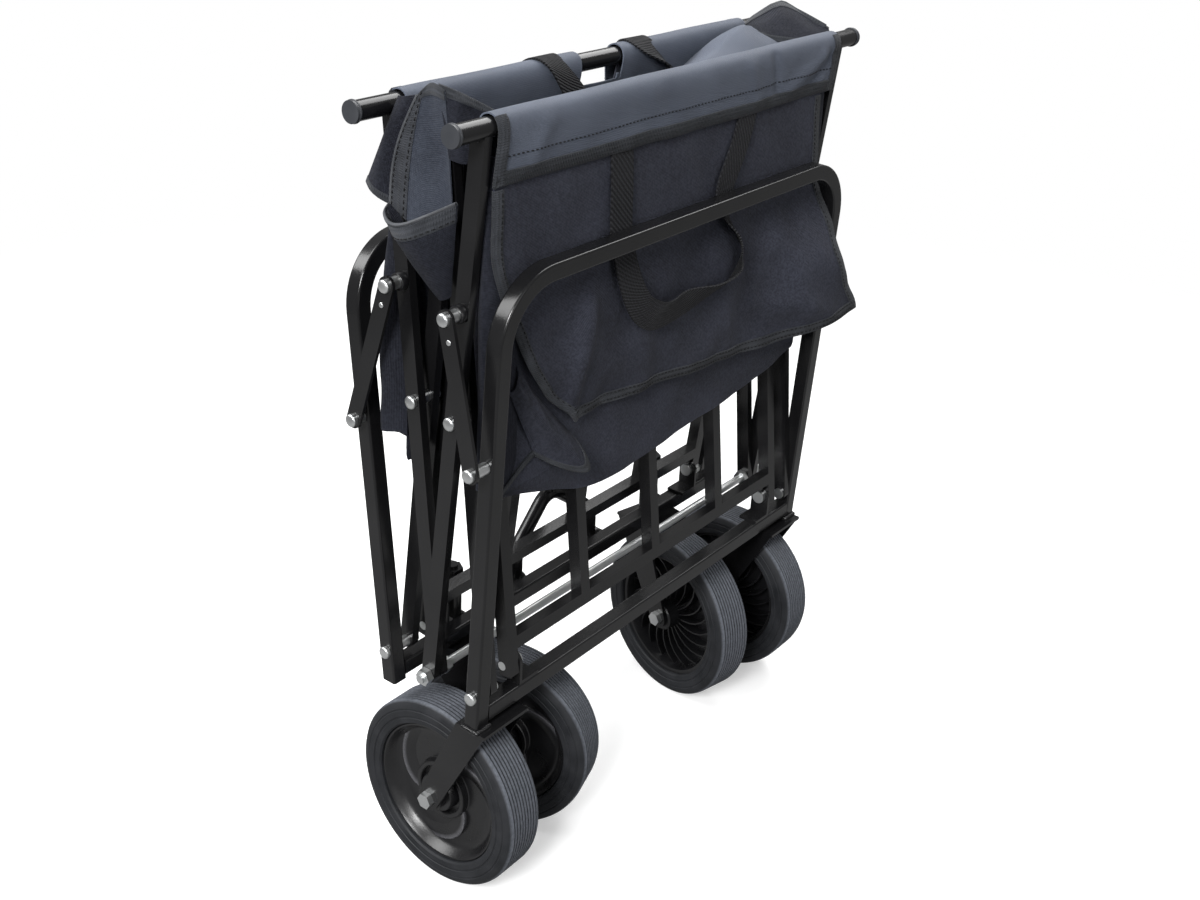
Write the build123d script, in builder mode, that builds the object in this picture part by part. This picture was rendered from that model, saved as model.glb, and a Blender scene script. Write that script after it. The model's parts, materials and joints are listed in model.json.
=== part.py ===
"""Folding wagon, folded: two end frames, a double scissor on each side, a fabric tub and a pull handle.

Millimetres. X runs across the wagon, +Y points to the front (the handle's end), +Z is up. The origin is
on the floor, below the middle rod, so Y = 0 is the plane that the scissors close on.
"""
from build123d import *
from math import atan, cos, degrees, radians, sin, sqrt, tan
import os

# Wheels and their axles
WHEEL_R = 89
WHEEL_WIDTH = 42
TYRE_INNER_R = 67
TYRE_SHOULDER = 8
TYRE_BEAD = 5
TYRE_FLAT = 0.4
RIM_WALL = 5
WEB_THICKNESS = 5
WEB_OUTSET = 6
HUB_R = 15
AXLE_R = 4
AXLE_HEAD_R = 6.5
AXLE_HEAD_T = 5.5
TYRE_SIDE_GAP = 4
TYRE_TOP_GAP = 4.4

# Square tube of the end frames
TUBE = 15
TUBE_WALL = 1.2
TUBE_CORNER = 2
HOOP_HALF = 255
FRONT_HOOP_INSET = 1
HOOP_TOP_Z = 588
FRONT_HOOP_TOP_Z = 580
HOOP_BEND = 60
HOOP_LEAN = 2.94
FRONT_HOOP_LEAN = 6.2
FRONT_FOOT_RISE = 3
CROSSBAR_RISE = 5

# Forks
SHEET = 3
FORK_PLATE = 32
FORK_EYE_R = 11
CASTER_INSET = 100
CASTER_TRAIL = 55
CASTER_LEFT_ANGLE = 18
CASTER_RIGHT_ANGLE = -12
CROWN_REAR = 30
CROWN_FRONT = 17
SLEEVE_R = 9.5
SLEEVE_LENGTH = 60
KINGPIN_R = 6
KINGPIN_NUT = 19
KINGPIN_NUT_T = 7

# Scissor sides: angles are measured from the upright
PIVOT_RISE = 33
LOWER_ARM = 243
UPPER_ARM = 236
FOLDED_ANGLE = 5.9
OPENED_ANGLE = 48
BAR_WIDTH = 14
BAR_T = 8
LAYER_GAP = 1
PIN_R = 4
PIN_HEAD_R = 5.5
PIN_HEAD_T = 2.7
SPACER_R = 5.2
LINK_PIVOT_Z = 434
LINK_WIDTH = 15
LINK_T = 3
LINK_STANDOFF = 15
LINK_HOLE_R = 2.5
LINK_HOLE_DROP = 18
ROD_NUT = 13
ROD_NUT_T = 6.5
ROD_END = 3

# Top rails
RAIL_R = 8
RAIL_WALL = 1.2
RAIL_OVERHANG = 25
CAP_FLANGE = 4
CAP_LIP = 0.8
CAP_PLUG = 14

# Floor frames
FLOOR_TUBE = 12
FLOOR_SIDE_GAP = 9
FLOOR_RUNG_PITCH = 107
FLOOR_LOW_BAR = 20
FLOOR_REAR_LENGTH = 446
FLOOR_FRONT_LENGTH = 262
FLOOR_LEAN = 6.5
FLOOR_OFFSET = 2.7
FLOOR_TAIL = 9
EAR_RISE = 21
EAR_INSET = 3
EAR_WIDTH = 20
EAR_FOOT = 24
FLOOR_BOLT_HEAD_R = 6.5
FLOOR_BOLT_HEAD_T = 4

# Fabric tub
CLOTH = 2
WALL_DROP = 300
WALL_INSET = 29
SLEEVE_END_GAP = 3
SLEEVE_SLOT_FROM = -17
SLEEVE_SLOT_TO = 34
SLEEVE_SLOT_DROP = 26
PANEL_GAP = 7
BASE_SIDE_GAP = 15
BASE_APEX_GAP = 15
BASE_APEX_HALF = 10
HEM = 4
BINDING = 3
FLAP_TOP_DROP = 44
FLAP_BOTTOM_Z = 404
FLAP_LEFT_BOTTOM_Z = 436
FLAP_LEFT_INSET = 33
FLAP_RIGHT_INSET = 43
FLAP_LOW_LEFT_INSET = 105
FLAP_CORNER_OUT = 34
FLAP_BACK_Z = 545
FLAP_FRONT_Z = 512
FLAP_FOLD_INSET = 145
FLAP_SIDE_GAP = 6
FLAP_STANDOFF = 13
STRAP_WIDTH = 28
STRAP_T = 1.6
STRAP_LEFT_X = -100
STRAP_LEFT_DROP = 118
STRAP_TURN_X = -63
STRAP_TURN_DROP = 143
STRAP_LOOP_X = 82
STRAP_LOOP_DROP = 132
STRAP_WAIST_X = 50
STRAP_WAIST_DROP = 54
STRAP_RIGHT_X = 96
POCKET_TIP_Z = 560
POCKET_RIM_Z = 644
POCKET_RIM_HALF = 33
POCKET_TIP_HALF = 8
POCKET_DEPTH = 34
POCKET_TIP_DEPTH = 8
POCKET_LIP = 5

# Pull handle
HANDLE_HALF = 58
HANDLE_PIVOT_OUT = 15
YOKE_R = 7
YOKE_EYE_R = 9
YOKE_EYE_WIDTH = 17
YOKE_BEND = 26
YOKE_FORK_RISE = 72
STEM_R = 8
STEM_LENGTH = 286
STEM_STANDOFF = 6
SLIDER_R = 10
SLIDER_START = 38
STEM_END_GAP = 7
GRIP_WIDTH = 118
GRIP_HEIGHT = 84
GRIP_DEPTH = 24
GRIP_BAR = 22
GRIP_CORNER = 30
GRIP_EDGE = 8
GRIP_SOCKET = 34
LUG_T = 4
LUG_RIM = 4

# Clearances: radial on running pins, face to face on moving parts, and on fabric round a tube
RUN_GAP = 0.05
SEAT_GAP = 0.3
CLOTH_GAP = 0.3

# Heights that follow from the sizes above
axle_z = WHEEL_R - TYRE_FLAT
fork_top = axle_z + WHEEL_R + TYRE_TOP_GAP + SHEET
pivot_z = fork_top + PIVOT_RISE
crossbar_z = fork_top + CROSSBAR_RISE + TUBE / 2
crossbar_top = crossbar_z + TUBE / 2
fold = radians(FOLDED_ANGLE)
lean = radians(HOOP_LEAN)
leans = {"rear": lean, "front": radians(FRONT_HOOP_LEAN)}
foot_y = 2 * LOWER_ARM * sin(fold)
cross_y = LOWER_ARM * sin(fold)
cross_z = pivot_z + LOWER_ARM * cos(fold)
top_joint_z = pivot_z + 2 * LOWER_ARM * cos(fold)
rail_arm = LOWER_ARM + UPPER_ARM
rail_y = rail_arm * sin(fold)
rail_z = pivot_z + rail_arm * cos(fold)

# Layers of the sides, as distances of the outer faces from the middle plane X = 0
rear_long_x = HOOP_HALF
front_long_x = rear_long_x - BAR_T - LAYER_GAP
rear_cross_x = HOOP_HALF - TUBE - LAYER_GAP
front_cross_x = rear_cross_x - BAR_T - LAYER_GAP
front_hoop_half = HOOP_HALF - FRONT_HOOP_INSET
fork_half = WHEEL_WIDTH / 2 + TYRE_SIDE_GAP
rear_wheel_x = HOOP_HALF - SHEET - fork_half
caster_x = HOOP_HALF - CASTER_INSET
rail_half = HOOP_HALF + RAIL_OVERHANG
floor_half = front_cross_x - BAR_T - FLOOR_SIDE_GAP - FLOOR_TUBE / 2
wall_half = HOOP_HALF - WALL_INSET
side_panel_x = front_cross_x - BAR_T - PANEL_GAP
base_half = side_panel_x - CLOTH - BASE_SIDE_GAP

SIDES = {"left": -1, "right": 1}
ENDS = {"rear": -1, "front": 1}


def hoop_y(z, end="rear"):
    """Distance of a hoop's centre line from the plane Y = 0 at a height. Each hoop leans from its crossbar."""
    crossbar_y = foot_y + (crossbar_z - pivot_z) * tan(lean)
    return crossbar_y + (z - crossbar_z) * tan(leans[end])


def axle_plane(centre, yaw):
    """Plane square to an axle: its X is the way the wheel rolls, its Y is up, its normal is the axle."""
    across = (cos(radians(yaw)), sin(radians(yaw)), 0)
    along = (-sin(radians(yaw)), cos(radians(yaw)), 0)
    return Plane(origin=centre, x_dir=along, z_dir=across)


def bar_plane(x):
    """Plane square to X: its X is +Y of the wagon, its Y is up."""
    return Plane(origin=(x, 0, 0), x_dir=(0, 1, 0), z_dir=(1, 0, 0))


def cross_pin(x_from, x_to, y, z, radius, mode=Mode.ADD):
    """Round pin or hole along X between two places."""
    with Locations(Location(((x_from + x_to) / 2, y, z), (0, 90, 0))):
        Cylinder(radius, abs(x_to - x_from), mode=mode)


def hex_pin(plane, start, thickness, across_flats):
    """Hexagonal nut or head standing on a plane's normal."""
    with BuildSketch(plane.offset(start)) as outline:
        RegularPolygon(across_flats / sqrt(3), 6)
    extrude(outline.sketch, amount=thickness)


def tube_section(plane, size, wall):
    """Hollow square section of a tube."""
    with BuildSketch(plane) as section:
        RectangleRounded(size, size, TUBE_CORNER)
        RectangleRounded(size - 2 * wall, size - 2 * wall, TUBE_CORNER / 2, mode=Mode.SUBTRACT)
    return section.sketch


def save(piece, name):
    """Label a finished piece and write it."""
    piece.part.label = name
    export_step(piece.part, f"parts/{name}.step")


os.makedirs("parts", exist_ok=True)

# End hoops: square tube bent into an upside-down U that leans outwards at the top
hoop_halves = {"rear": HOOP_HALF, "front": front_hoop_half}
hoop_feet = {"rear": fork_top, "front": fork_top + FRONT_FOOT_RISE}
hoop_tops = {"rear": HOOP_TOP_Z, "front": FRONT_HOOP_TOP_Z}
for end, way in ENDS.items():
    tilt = leans[end]
    hoop_plane = Plane(
        origin=(0, way * hoop_y(crossbar_z), crossbar_z),
        x_dir=(1, 0, 0),
        z_dir=(0, -cos(tilt), way * sin(tilt)),
    )
    half = hoop_halves[end] - TUBE / 2
    foot = (hoop_feet[end] - TUBE - crossbar_z) / cos(tilt)
    top = (hoop_tops[end] - crossbar_z) / cos(tilt) - TUBE / 2
    with BuildPart() as hoop:
        with BuildLine(hoop_plane) as hoop_path:
            FilletPolyline(
                (-half, foot), (-half, top), (half, top), (half, foot), radius=HOOP_BEND - TUBE / 2
            )
        foot_plane = Plane(
            origin=hoop_path.wire() @ 0, x_dir=(1, 0, 0), z_dir=hoop_path.wire() % 0
        )
        sweep(tube_section(foot_plane, TUBE, TUBE_WALL), path=hoop_path.wire())
        split(bisect_by=Plane.XY.offset(hoop_feet[end]), keep=Keep.TOP)
        for side in SIDES.values():
            outer = side * (hoop_halves[end] + LAYER_GAP)
            inner = side * (hoop_halves[end] - TUBE - LAYER_GAP)
            cross_pin(outer, inner, way * foot_y, pivot_z, PIN_R + RUN_GAP, Mode.SUBTRACT)
    save(hoop, f"{end}_hoop")

    # Crossbar between the uprights
    bar_half = hoop_halves[end] - TUBE
    with BuildPart() as crossbar:
        bar_start = Plane(
            origin=(-bar_half, way * hoop_y(crossbar_z), crossbar_z), x_dir=(0, 1, 0), z_dir=(1, 0, 0)
        )
        extrude(tube_section(bar_start, TUBE, TUBE_WALL), amount=2 * bar_half)
    save(crossbar, f"{end}_crossbar")

# Rear forks: a bent plate over each fixed wheel, welded under the hoop's foot
rear_plate_y = -hoop_y(fork_top)
for name, side in SIDES.items():
    axle = axle_plane((side * rear_wheel_x, 0, axle_z), 0)
    plate_from = rear_plate_y - FORK_PLATE / 2
    plate_to = rear_plate_y + FORK_PLATE / 2
    with BuildPart() as rear_fork:
        with BuildSketch(Plane.XY.offset(fork_top - SHEET)):
            with Locations((side * rear_wheel_x, rear_plate_y)):
                Rectangle(2 * (fork_half + SHEET), FORK_PLATE)
        extrude(amount=SHEET)
        for leg in (-fork_half - SHEET, fork_half):
            with BuildSketch(axle.offset(leg)):
                with BuildLine():
                    CenterArc((0, 0), FORK_EYE_R, 0, 360)
                    Line((plate_from, fork_top - axle_z), (plate_to, fork_top - axle_z))
                make_hull()
            extrude(amount=SHEET)
        with Locations(axle):
            Cylinder(AXLE_R + RUN_GAP, 4 * fork_half, mode=Mode.SUBTRACT)
    save(rear_fork, f"rear_fork_{name}")

# Axle bolts of the rear wheels, head outside and nut inside
with BuildPart() as rear_axles:
    for side in SIDES.values():
        axle = axle_plane((side * rear_wheel_x, 0, axle_z), 0)
        reach = fork_half + SHEET
        with Locations(axle):
            Cylinder(AXLE_R, 2 * (reach + AXLE_HEAD_T))
        hex_pin(axle, reach, AXLE_HEAD_T, 2 * AXLE_HEAD_R)
        hex_pin(axle, -reach - AXLE_HEAD_T, AXLE_HEAD_T, 2 * AXLE_HEAD_R)
save(rear_axles, "rear_axles")

# Caster sleeves: upright bearings on the far face of the front crossbar
front_face = hoop_y(crossbar_z) + TUBE / 2
caster_y = front_face + SLEEVE_R
sleeve_top = fork_top + SLEEVE_LENGTH
with BuildPart() as caster_sleeves:
    for side in SIDES.values():
        with BuildSketch(Plane.XY.offset(fork_top)):
            with Locations((side * caster_x, caster_y)):
                Circle(SLEEVE_R)
        extrude(amount=SLEEVE_LENGTH)
        with BuildSketch(Plane.XY.offset(crossbar_z - TUBE / 2)):
            with Locations((side * caster_x, (front_face + caster_y) / 2)):
                Rectangle(2 * SLEEVE_R - SHEET, SLEEVE_R)
        extrude(amount=TUBE)
        with Locations((side * caster_x, caster_y, fork_top)):
            Cylinder(KINGPIN_R + RUN_GAP, 3 * SLEEVE_LENGTH, mode=Mode.SUBTRACT)
save(caster_sleeves, "caster_sleeves")

# Casters: a fork with its kingpin and top nut, and an axle bolt, all turned as the casters stand
caster_yaw = {"left": CASTER_LEFT_ANGLE, "right": CASTER_RIGHT_ANGLE}
crown_top = fork_top - SEAT_GAP
caster_axles = {}
for name, side in SIDES.items():
    yaw = caster_yaw[name]
    swivel = Vector(side * caster_x, caster_y, 0)
    trail = Vector(sin(radians(yaw)), -cos(radians(yaw)), 0) * CASTER_TRAIL
    caster_axles[name] = axle_plane(swivel + trail + Vector(0, 0, axle_z), yaw)
    axle = caster_axles[name]
    with BuildPart() as caster_fork:
        with BuildSketch(Plane(origin=swivel + Vector(0, 0, crown_top - SHEET), x_dir=axle.z_dir)):
            with Locations((0, (CROWN_FRONT - CROWN_REAR) / 2)):
                Rectangle(2 * (fork_half + SHEET), CROWN_FRONT + CROWN_REAR)
        extrude(amount=SHEET)
        for leg in (-fork_half - SHEET, fork_half):
            with BuildSketch(axle.offset(leg)):
                with BuildLine():
                    CenterArc((0, 0), FORK_EYE_R, 0, 360)
                    Line(
                        (CASTER_TRAIL - CROWN_REAR, crown_top - axle_z),
                        (CASTER_TRAIL + CROWN_FRONT, crown_top - axle_z),
                    )
                make_hull()
            extrude(amount=SHEET)
        with Locations(axle):
            Cylinder(AXLE_R + RUN_GAP, 4 * fork_half, mode=Mode.SUBTRACT)
        with BuildSketch(Plane(origin=swivel + Vector(0, 0, crown_top))):
            Circle(KINGPIN_R)
        extrude(amount=sleeve_top + SEAT_GAP + KINGPIN_NUT_T + ROD_END - crown_top)
        with BuildSketch(Plane(origin=swivel + Vector(0, 0, sleeve_top + SEAT_GAP))):
            RegularPolygon(KINGPIN_NUT / sqrt(3), 6)
        extrude(amount=KINGPIN_NUT_T)
    save(caster_fork, f"caster_fork_{name}")

    with BuildPart() as caster_axle:
        reach = fork_half + SHEET
        with Locations(axle):
            Cylinder(AXLE_R, 2 * (reach + AXLE_HEAD_T))
        hex_pin(axle, reach, AXLE_HEAD_T, 2 * AXLE_HEAD_R)
        hex_pin(axle, -reach - AXLE_HEAD_T, AXLE_HEAD_T, 2 * AXLE_HEAD_R)
    save(caster_axle, f"caster_axle_{name}")

# Wheels: a tyre with round shoulders, pressed flat by its load where it stands on the floor, on a rim
# whose web is set towards its outer face
wheel_axles = {}
for name, side in SIDES.items():
    wheel_axles[f"rear_{name}"] = (axle_plane((side * rear_wheel_x, 0, axle_z), 0), side)
    wheel_axles[f"caster_{name}"] = (caster_axles[name], side)
for name, (axle, side) in wheel_axles.items():
    profile_plane = Plane(origin=axle.origin, x_dir=axle.z_dir, z_dir=-axle.x_dir)
    spin = Axis(axle.origin, axle.z_dir)
    with BuildPart() as tyre:
        with BuildSketch(profile_plane):
            with Locations((0, (WHEEL_R + TYRE_INNER_R) / 2)):
                Rectangle(WHEEL_WIDTH, WHEEL_R - TYRE_INNER_R)
        revolve(axis=spin)
        tread_edges = tyre.edges().filter_by(GeomType.CIRCLE).sort_by(SortBy.RADIUS)[-2:]
        fillet(tread_edges, radius=TYRE_SHOULDER)
        split(bisect_by=Plane.XY, keep=Keep.TOP)
    save(tyre, f"{name}_tyre")

    rim_half = WHEEL_WIDTH / 2 - TYRE_BEAD
    hub_half = fork_half - SEAT_GAP
    with BuildPart() as rim:
        with BuildSketch(profile_plane):
            with Locations((0, TYRE_INNER_R - RIM_WALL / 2)):
                Rectangle(2 * rim_half, RIM_WALL)
            with Locations((side * WEB_OUTSET, (TYRE_INNER_R - RIM_WALL + AXLE_R) / 2 + RIM_WALL)):
                Rectangle(WEB_THICKNESS, TYRE_INNER_R - 2 * RIM_WALL - AXLE_R)
            with Locations((0, (HUB_R + AXLE_R + RUN_GAP) / 2)):
                Rectangle(2 * hub_half, HUB_R - AXLE_R - RUN_GAP)
        revolve(axis=spin)
    save(rim, f"{name}_rim")

# Scissor sides: a long bar up to each rail and a cross bar from each hoop's foot to the top joint
long_x = {"rear": rear_long_x, "front": front_long_x}
cross_x = {"rear": rear_cross_x, "front": front_cross_x}
spread = 2 * LOWER_ARM * (sin(radians(OPENED_ANGLE)) - sin(fold))
link_rise = LINK_PIVOT_Z - pivot_z
link_tops = {}
link_lows = {}
for end, way in ENDS.items():
    low_y = hoop_y(LINK_PIVOT_Z, end)
    shut_reach = low_y * sin(fold) + link_rise * cos(fold)
    open_y = low_y + spread
    open_reach = open_y * sin(radians(OPENED_ANGLE)) + link_rise * cos(radians(OPENED_ANGLE))
    link_arm = (open_y**2 - low_y**2) / (2 * (open_reach - shut_reach))
    link_tops[end] = (way * link_arm * sin(fold), pivot_z + link_arm * cos(fold))
    link_lows[end] = (way * low_y, LINK_PIVOT_Z)
for end, way in ENDS.items():
    for name, side in SIDES.items():
        outer = long_x[end]
        start = bar_plane(min(side * outer, side * (outer - BAR_T)))
        with BuildPart() as long_bar:
            with BuildSketch(start):
                with Locations((way * rail_y / 2, (pivot_z + rail_z) / 2)):
                    SlotCenterToCenter(rail_arm, BAR_WIDTH, rotation=90 - way * FOLDED_ANGLE)
                with Locations((0, pivot_z), (way * cross_y, cross_z), link_tops[end]):
                    Circle(PIN_R + RUN_GAP, mode=Mode.SUBTRACT)
                with Locations((way * rail_y, rail_z)):
                    Circle(RAIL_R, mode=Mode.SUBTRACT)
                    with Locations((0, BAR_WIDTH)):
                        Rectangle(4 * BAR_WIDTH, 2 * BAR_WIDTH, mode=Mode.SUBTRACT)
            extrude(amount=BAR_T)
        save(long_bar, f"{end}_long_bar_{name}")

        outer = cross_x[end]
        start = bar_plane(min(side * outer, side * (outer - BAR_T)))
        with BuildPart() as cross_bar:
            with BuildSketch(start):
                with Locations((way * cross_y, cross_z)):
                    SlotCenterToCenter(2 * LOWER_ARM, BAR_WIDTH, rotation=90 + way * FOLDED_ANGLE)
                joints = ((way * foot_y, pivot_z), (way * cross_y, cross_z), (0, top_joint_z))
                with Locations(*joints):
                    Circle(PIN_R + RUN_GAP, mode=Mode.SUBTRACT)
            extrude(amount=BAR_T)
        save(cross_bar, f"{end}_cross_bar_{name}")

# Rivets of the joints: they stay in the cross bars, and the rear ones also hold the top joint
for end, way in ENDS.items():
    bar_out = cross_x[end]
    bar_in = bar_out - BAR_T
    with BuildPart() as rivets:
        for side in SIDES.values():
            held = {(way * cross_y, cross_z): long_x[end], (way * foot_y, pivot_z): hoop_halves[end]}
            inner_faces = {(way * cross_y, cross_z): long_x[end] - BAR_T}
            inner_faces[(way * foot_y, pivot_z)] = hoop_halves[end] - TUBE
            for (y, z), outer in held.items():
                head = outer + SEAT_GAP
                cross_pin(side * head, side * bar_in, y, z, PIN_R)
                cross_pin(side * head, side * (head + PIN_HEAD_T), y, z, PIN_HEAD_R)
                cross_pin(side * bar_in, side * (bar_in - PIN_HEAD_T), y, z, PIN_HEAD_R)
                cross_pin(side * bar_out, side * (inner_faces[(y, z)] - SEAT_GAP), y, z, SPACER_R)
            if end == "rear":
                last_in = front_cross_x - BAR_T - SEAT_GAP
                cross_pin(side * bar_out, side * last_in, 0, top_joint_z, PIN_R)
                cross_pin(side * bar_out, side * (bar_out + PIN_HEAD_T), 0, top_joint_z, PIN_HEAD_R)
                cross_pin(side * last_in, side * (last_in - PIN_HEAD_T), 0, top_joint_z, PIN_HEAD_R)
    save(rivets, f"{end}_rivets")

# Flat links from the long bars to the hoops' uprights, standing off on spacers
for end, way in ENDS.items():
    inner = long_x[end] + LINK_STANDOFF
    tops = link_tops[end]
    lows = link_lows[end]
    run_y = lows[0] - tops[0]
    run_z = lows[1] - tops[1]
    run = sqrt(run_y**2 + run_z**2)
    hole = (tops[0] + run_y / run * LINK_HOLE_DROP, tops[1] + run_z / run * LINK_HOLE_DROP)
    with BuildPart() as links:
        for side in SIDES.values():
            with BuildSketch(bar_plane(min(side * inner, side * (inner + LINK_T)))):
                with Locations(((tops[0] + lows[0]) / 2, (tops[1] + lows[1]) / 2)):
                    SlotCenterToCenter(run, LINK_WIDTH, rotation=degrees(atan(run_z / run_y)))
                with Locations(tops, lows):
                    Circle(PIN_R + RUN_GAP, mode=Mode.SUBTRACT)
                with Locations(hole):
                    Circle(LINK_HOLE_R, mode=Mode.SUBTRACT)
            extrude(amount=LINK_T)
    save(links, f"{end}_links")

    with BuildPart() as link_rivets:
        for side in SIDES.values():
            outer = inner + LINK_T
            seats = {tops: long_x[end], lows: hoop_halves[end]}
            for (y, z), seat in seats.items():
                cross_pin(side * (seat + SEAT_GAP), side * outer, y, z, PIN_R)
                cross_pin(side * (seat + SEAT_GAP), side * inner, y, z, SPACER_R)
                cross_pin(side * outer, side * (outer + PIN_HEAD_T), y, z, PIN_HEAD_R)
            cross_pin(side * (long_x[end] - BAR_T + SEAT_GAP), side * outer, tops[0], tops[1], PIN_R)
    save(link_rivets, f"{end}_link_rivets")

# Middle rod through the bottom joints, with a nut at each face of the bars
with BuildPart() as centre_rod:
    rod_half = rear_long_x + SEAT_GAP + ROD_NUT_T + ROD_END
    cross_pin(-rod_half, rod_half, 0, pivot_z, PIN_R)
    for side in SIDES.values():
        for face in (rear_long_x + SEAT_GAP, front_long_x - BAR_T - SEAT_GAP - ROD_NUT_T):
            rod_plane = Plane(origin=(0, 0, pivot_z), x_dir=(0, 1, 0), z_dir=(side, 0, 0))
            hex_pin(rod_plane, face, ROD_NUT_T, ROD_NUT)
save(centre_rod, "centre_rod")

# Top rails with plugged end caps
for end, way in ENDS.items():
    with BuildPart() as rail:
        with BuildSketch(bar_plane(-rail_half)):
            with Locations((way * rail_y, rail_z)):
                Circle(RAIL_R)
                Circle(RAIL_R - RAIL_WALL, mode=Mode.SUBTRACT)
        extrude(amount=2 * rail_half)
    save(rail, f"{end}_rail")

    with BuildPart() as rail_caps:
        for side in SIDES.values():
            plug_r = RAIL_R - RAIL_WALL - RUN_GAP
            tip = rail_half + CAP_FLANGE
            cross_pin(side * (rail_half - CAP_PLUG), side * rail_half, way * rail_y, rail_z, plug_r)
            cross_pin(side * rail_half, side * tip, way * rail_y, rail_z, RAIL_R + CAP_LIP)
    save(rail_caps, f"{end}_rail_caps")

# Floor frames: ladders of square tube that stand folded between the walls, hinged on ears
ear_y = hoop_y(crossbar_z) - EAR_INSET
ear_z = crossbar_top + EAR_RISE
ear_face = floor_half - FLOOR_TUBE / 2 - SEAT_GAP
floor_lengths = {"rear": FLOOR_REAR_LENGTH, "front": FLOOR_FRONT_LENGTH}
floor_lean = radians(FLOOR_LEAN)
for end, way in ENDS.items():
    length = floor_lengths[end]
    floor_plane = Plane(
        origin=(0, way * ear_y, ear_z),
        x_dir=(1, 0, 0),
        z_dir=(0, -cos(floor_lean), -way * sin(floor_lean)),
    )
    middle = -way * FLOOR_OFFSET
    with BuildPart() as floor_frame:
        with BuildSketch(floor_plane.offset(middle - FLOOR_TUBE / 2)):
            for side in SIDES.values():
                with Locations((side * floor_half, (length - FLOOR_TAIL) / 2)):
                    Rectangle(FLOOR_TUBE, length + FLOOR_TAIL)
            for across in (FLOOR_LOW_BAR, length - FLOOR_TUBE / 2):
                with Locations((0, across)):
                    Rectangle(2 * floor_half, FLOOR_TUBE)
            with Locations((0, (FLOOR_LOW_BAR + length) / 2)):
                with GridLocations(FLOOR_RUNG_PITCH, 1, 3, 1):
                    Rectangle(FLOOR_TUBE, length - FLOOR_LOW_BAR - FLOOR_TUBE / 2)
        extrude(amount=FLOOR_TUBE)
        cross_pin(-2 * floor_half, 2 * floor_half, way * ear_y, ear_z, PIN_R + RUN_GAP, Mode.SUBTRACT)
    save(floor_frame, f"{end}_floor_frame")

    with BuildPart() as floor_ears:
        for side in SIDES.values():
            with BuildSketch(bar_plane(min(side * ear_face, side * (ear_face - SHEET)))):
                with Locations((way * ear_y, ear_z)):
                    Circle(EAR_WIDTH / 2)
                with Locations((way * ear_y, (ear_z + crossbar_top) / 2)):
                    Rectangle(EAR_WIDTH, ear_z - crossbar_top)
                with Locations((way * ear_y, ear_z)):
                    Circle(PIN_R + RUN_GAP, mode=Mode.SUBTRACT)
            extrude(amount=SHEET)
            with BuildSketch(Plane.XY.offset(crossbar_top)):
                with Locations((side * (ear_face - EAR_FOOT / 2), way * ear_y)):
                    Rectangle(EAR_FOOT, EAR_WIDTH)
            extrude(amount=SHEET)
    save(floor_ears, f"{end}_floor_ears")

    with BuildPart() as floor_bolts:
        for side in SIDES.values():
            tail = floor_half + FLOOR_TUBE / 2
            head = ear_face - SHEET
            cross_pin(side * head, side * tail, way * ear_y, ear_z, PIN_R)
            head_end = head - FLOOR_BOLT_HEAD_T
            cross_pin(side * head, side * head_end, way * ear_y, ear_z, FLOOR_BOLT_HEAD_R)
    save(floor_bolts, f"{end}_floor_bolts")

# Tub walls: a sleeve round each rail with the wall hanging from it
sleeve_in = RAIL_R + CLOTH_GAP
sleeve_out = sleeve_in + CLOTH
wall_bottom = rail_z - WALL_DROP
for end, way in ENDS.items():
    sleeve_half = long_x[end] - BAR_T - SLEEVE_END_GAP
    with BuildPart() as wall:
        with BuildSketch(bar_plane(-sleeve_half)):
            with Locations((way * rail_y, rail_z)):
                Circle(sleeve_out)
        extrude(amount=2 * sleeve_half)
        with BuildSketch(bar_plane(-wall_half)):
            with Locations((way * rail_y, (wall_bottom + rail_z) / 2)):
                Rectangle(CLOTH, WALL_DROP)
        extrude(amount=2 * wall_half)
        cross_pin(-2 * wall_half, 2 * wall_half, way * rail_y, rail_z, sleeve_in, Mode.SUBTRACT)
        if end == "front":
            with BuildSketch(Plane.XY.offset(rail_z - SLEEVE_SLOT_DROP)):
                with Locations(((SLEEVE_SLOT_FROM + SLEEVE_SLOT_TO) / 2, way * rail_y)):
                    Rectangle(SLEEVE_SLOT_TO - SLEEVE_SLOT_FROM, 4 * sleeve_out)
            extrude(amount=SLEEVE_SLOT_DROP + 2 * sleeve_out, mode=Mode.SUBTRACT)
    save(wall, f"{end}_wall")

# Outer flap of the rear wall: behind the hoop's top bar, then out over the right upright
flap_top_z = rail_z - FLAP_TOP_DROP
flap_back_y = -rail_y - CLOTH / 2 - CLOTH_GAP
flap_front_y = -hoop_y(FLAP_FRONT_Z) - TUBE / 2 / cos(lean) - FLAP_STANDOFF
flap_right_z = FLAP_FRONT_Z + TUBE
flap_heights = (flap_top_z, FLAP_BACK_Z, FLAP_FRONT_Z, FLAP_BOTTOM_Z)
hanging = (flap_back_y, flap_back_y, flap_back_y, flap_back_y)
thrown_out = (flap_back_y, flap_back_y, flap_front_y, flap_front_y)
flap_top_left = FLAP_LEFT_INSET - HOOP_HALF
flap_top_right = HOOP_HALF - FLAP_RIGHT_INSET
flap_low_left = FLAP_LOW_LEFT_INSET - HOOP_HALF
flap_corner_x = HOOP_HALF + FLAP_CORNER_OUT
flap_fold_x = HOOP_HALF - FLAP_FOLD_INSET
flap_right_inner = HOOP_HALF - TUBE - FLAP_SIDE_GAP
flap_sections = (
    (flap_top_left, hanging),
    (flap_fold_x, hanging),
    (flap_right_inner, thrown_out),
    (flap_corner_x, thrown_out),
)
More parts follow.
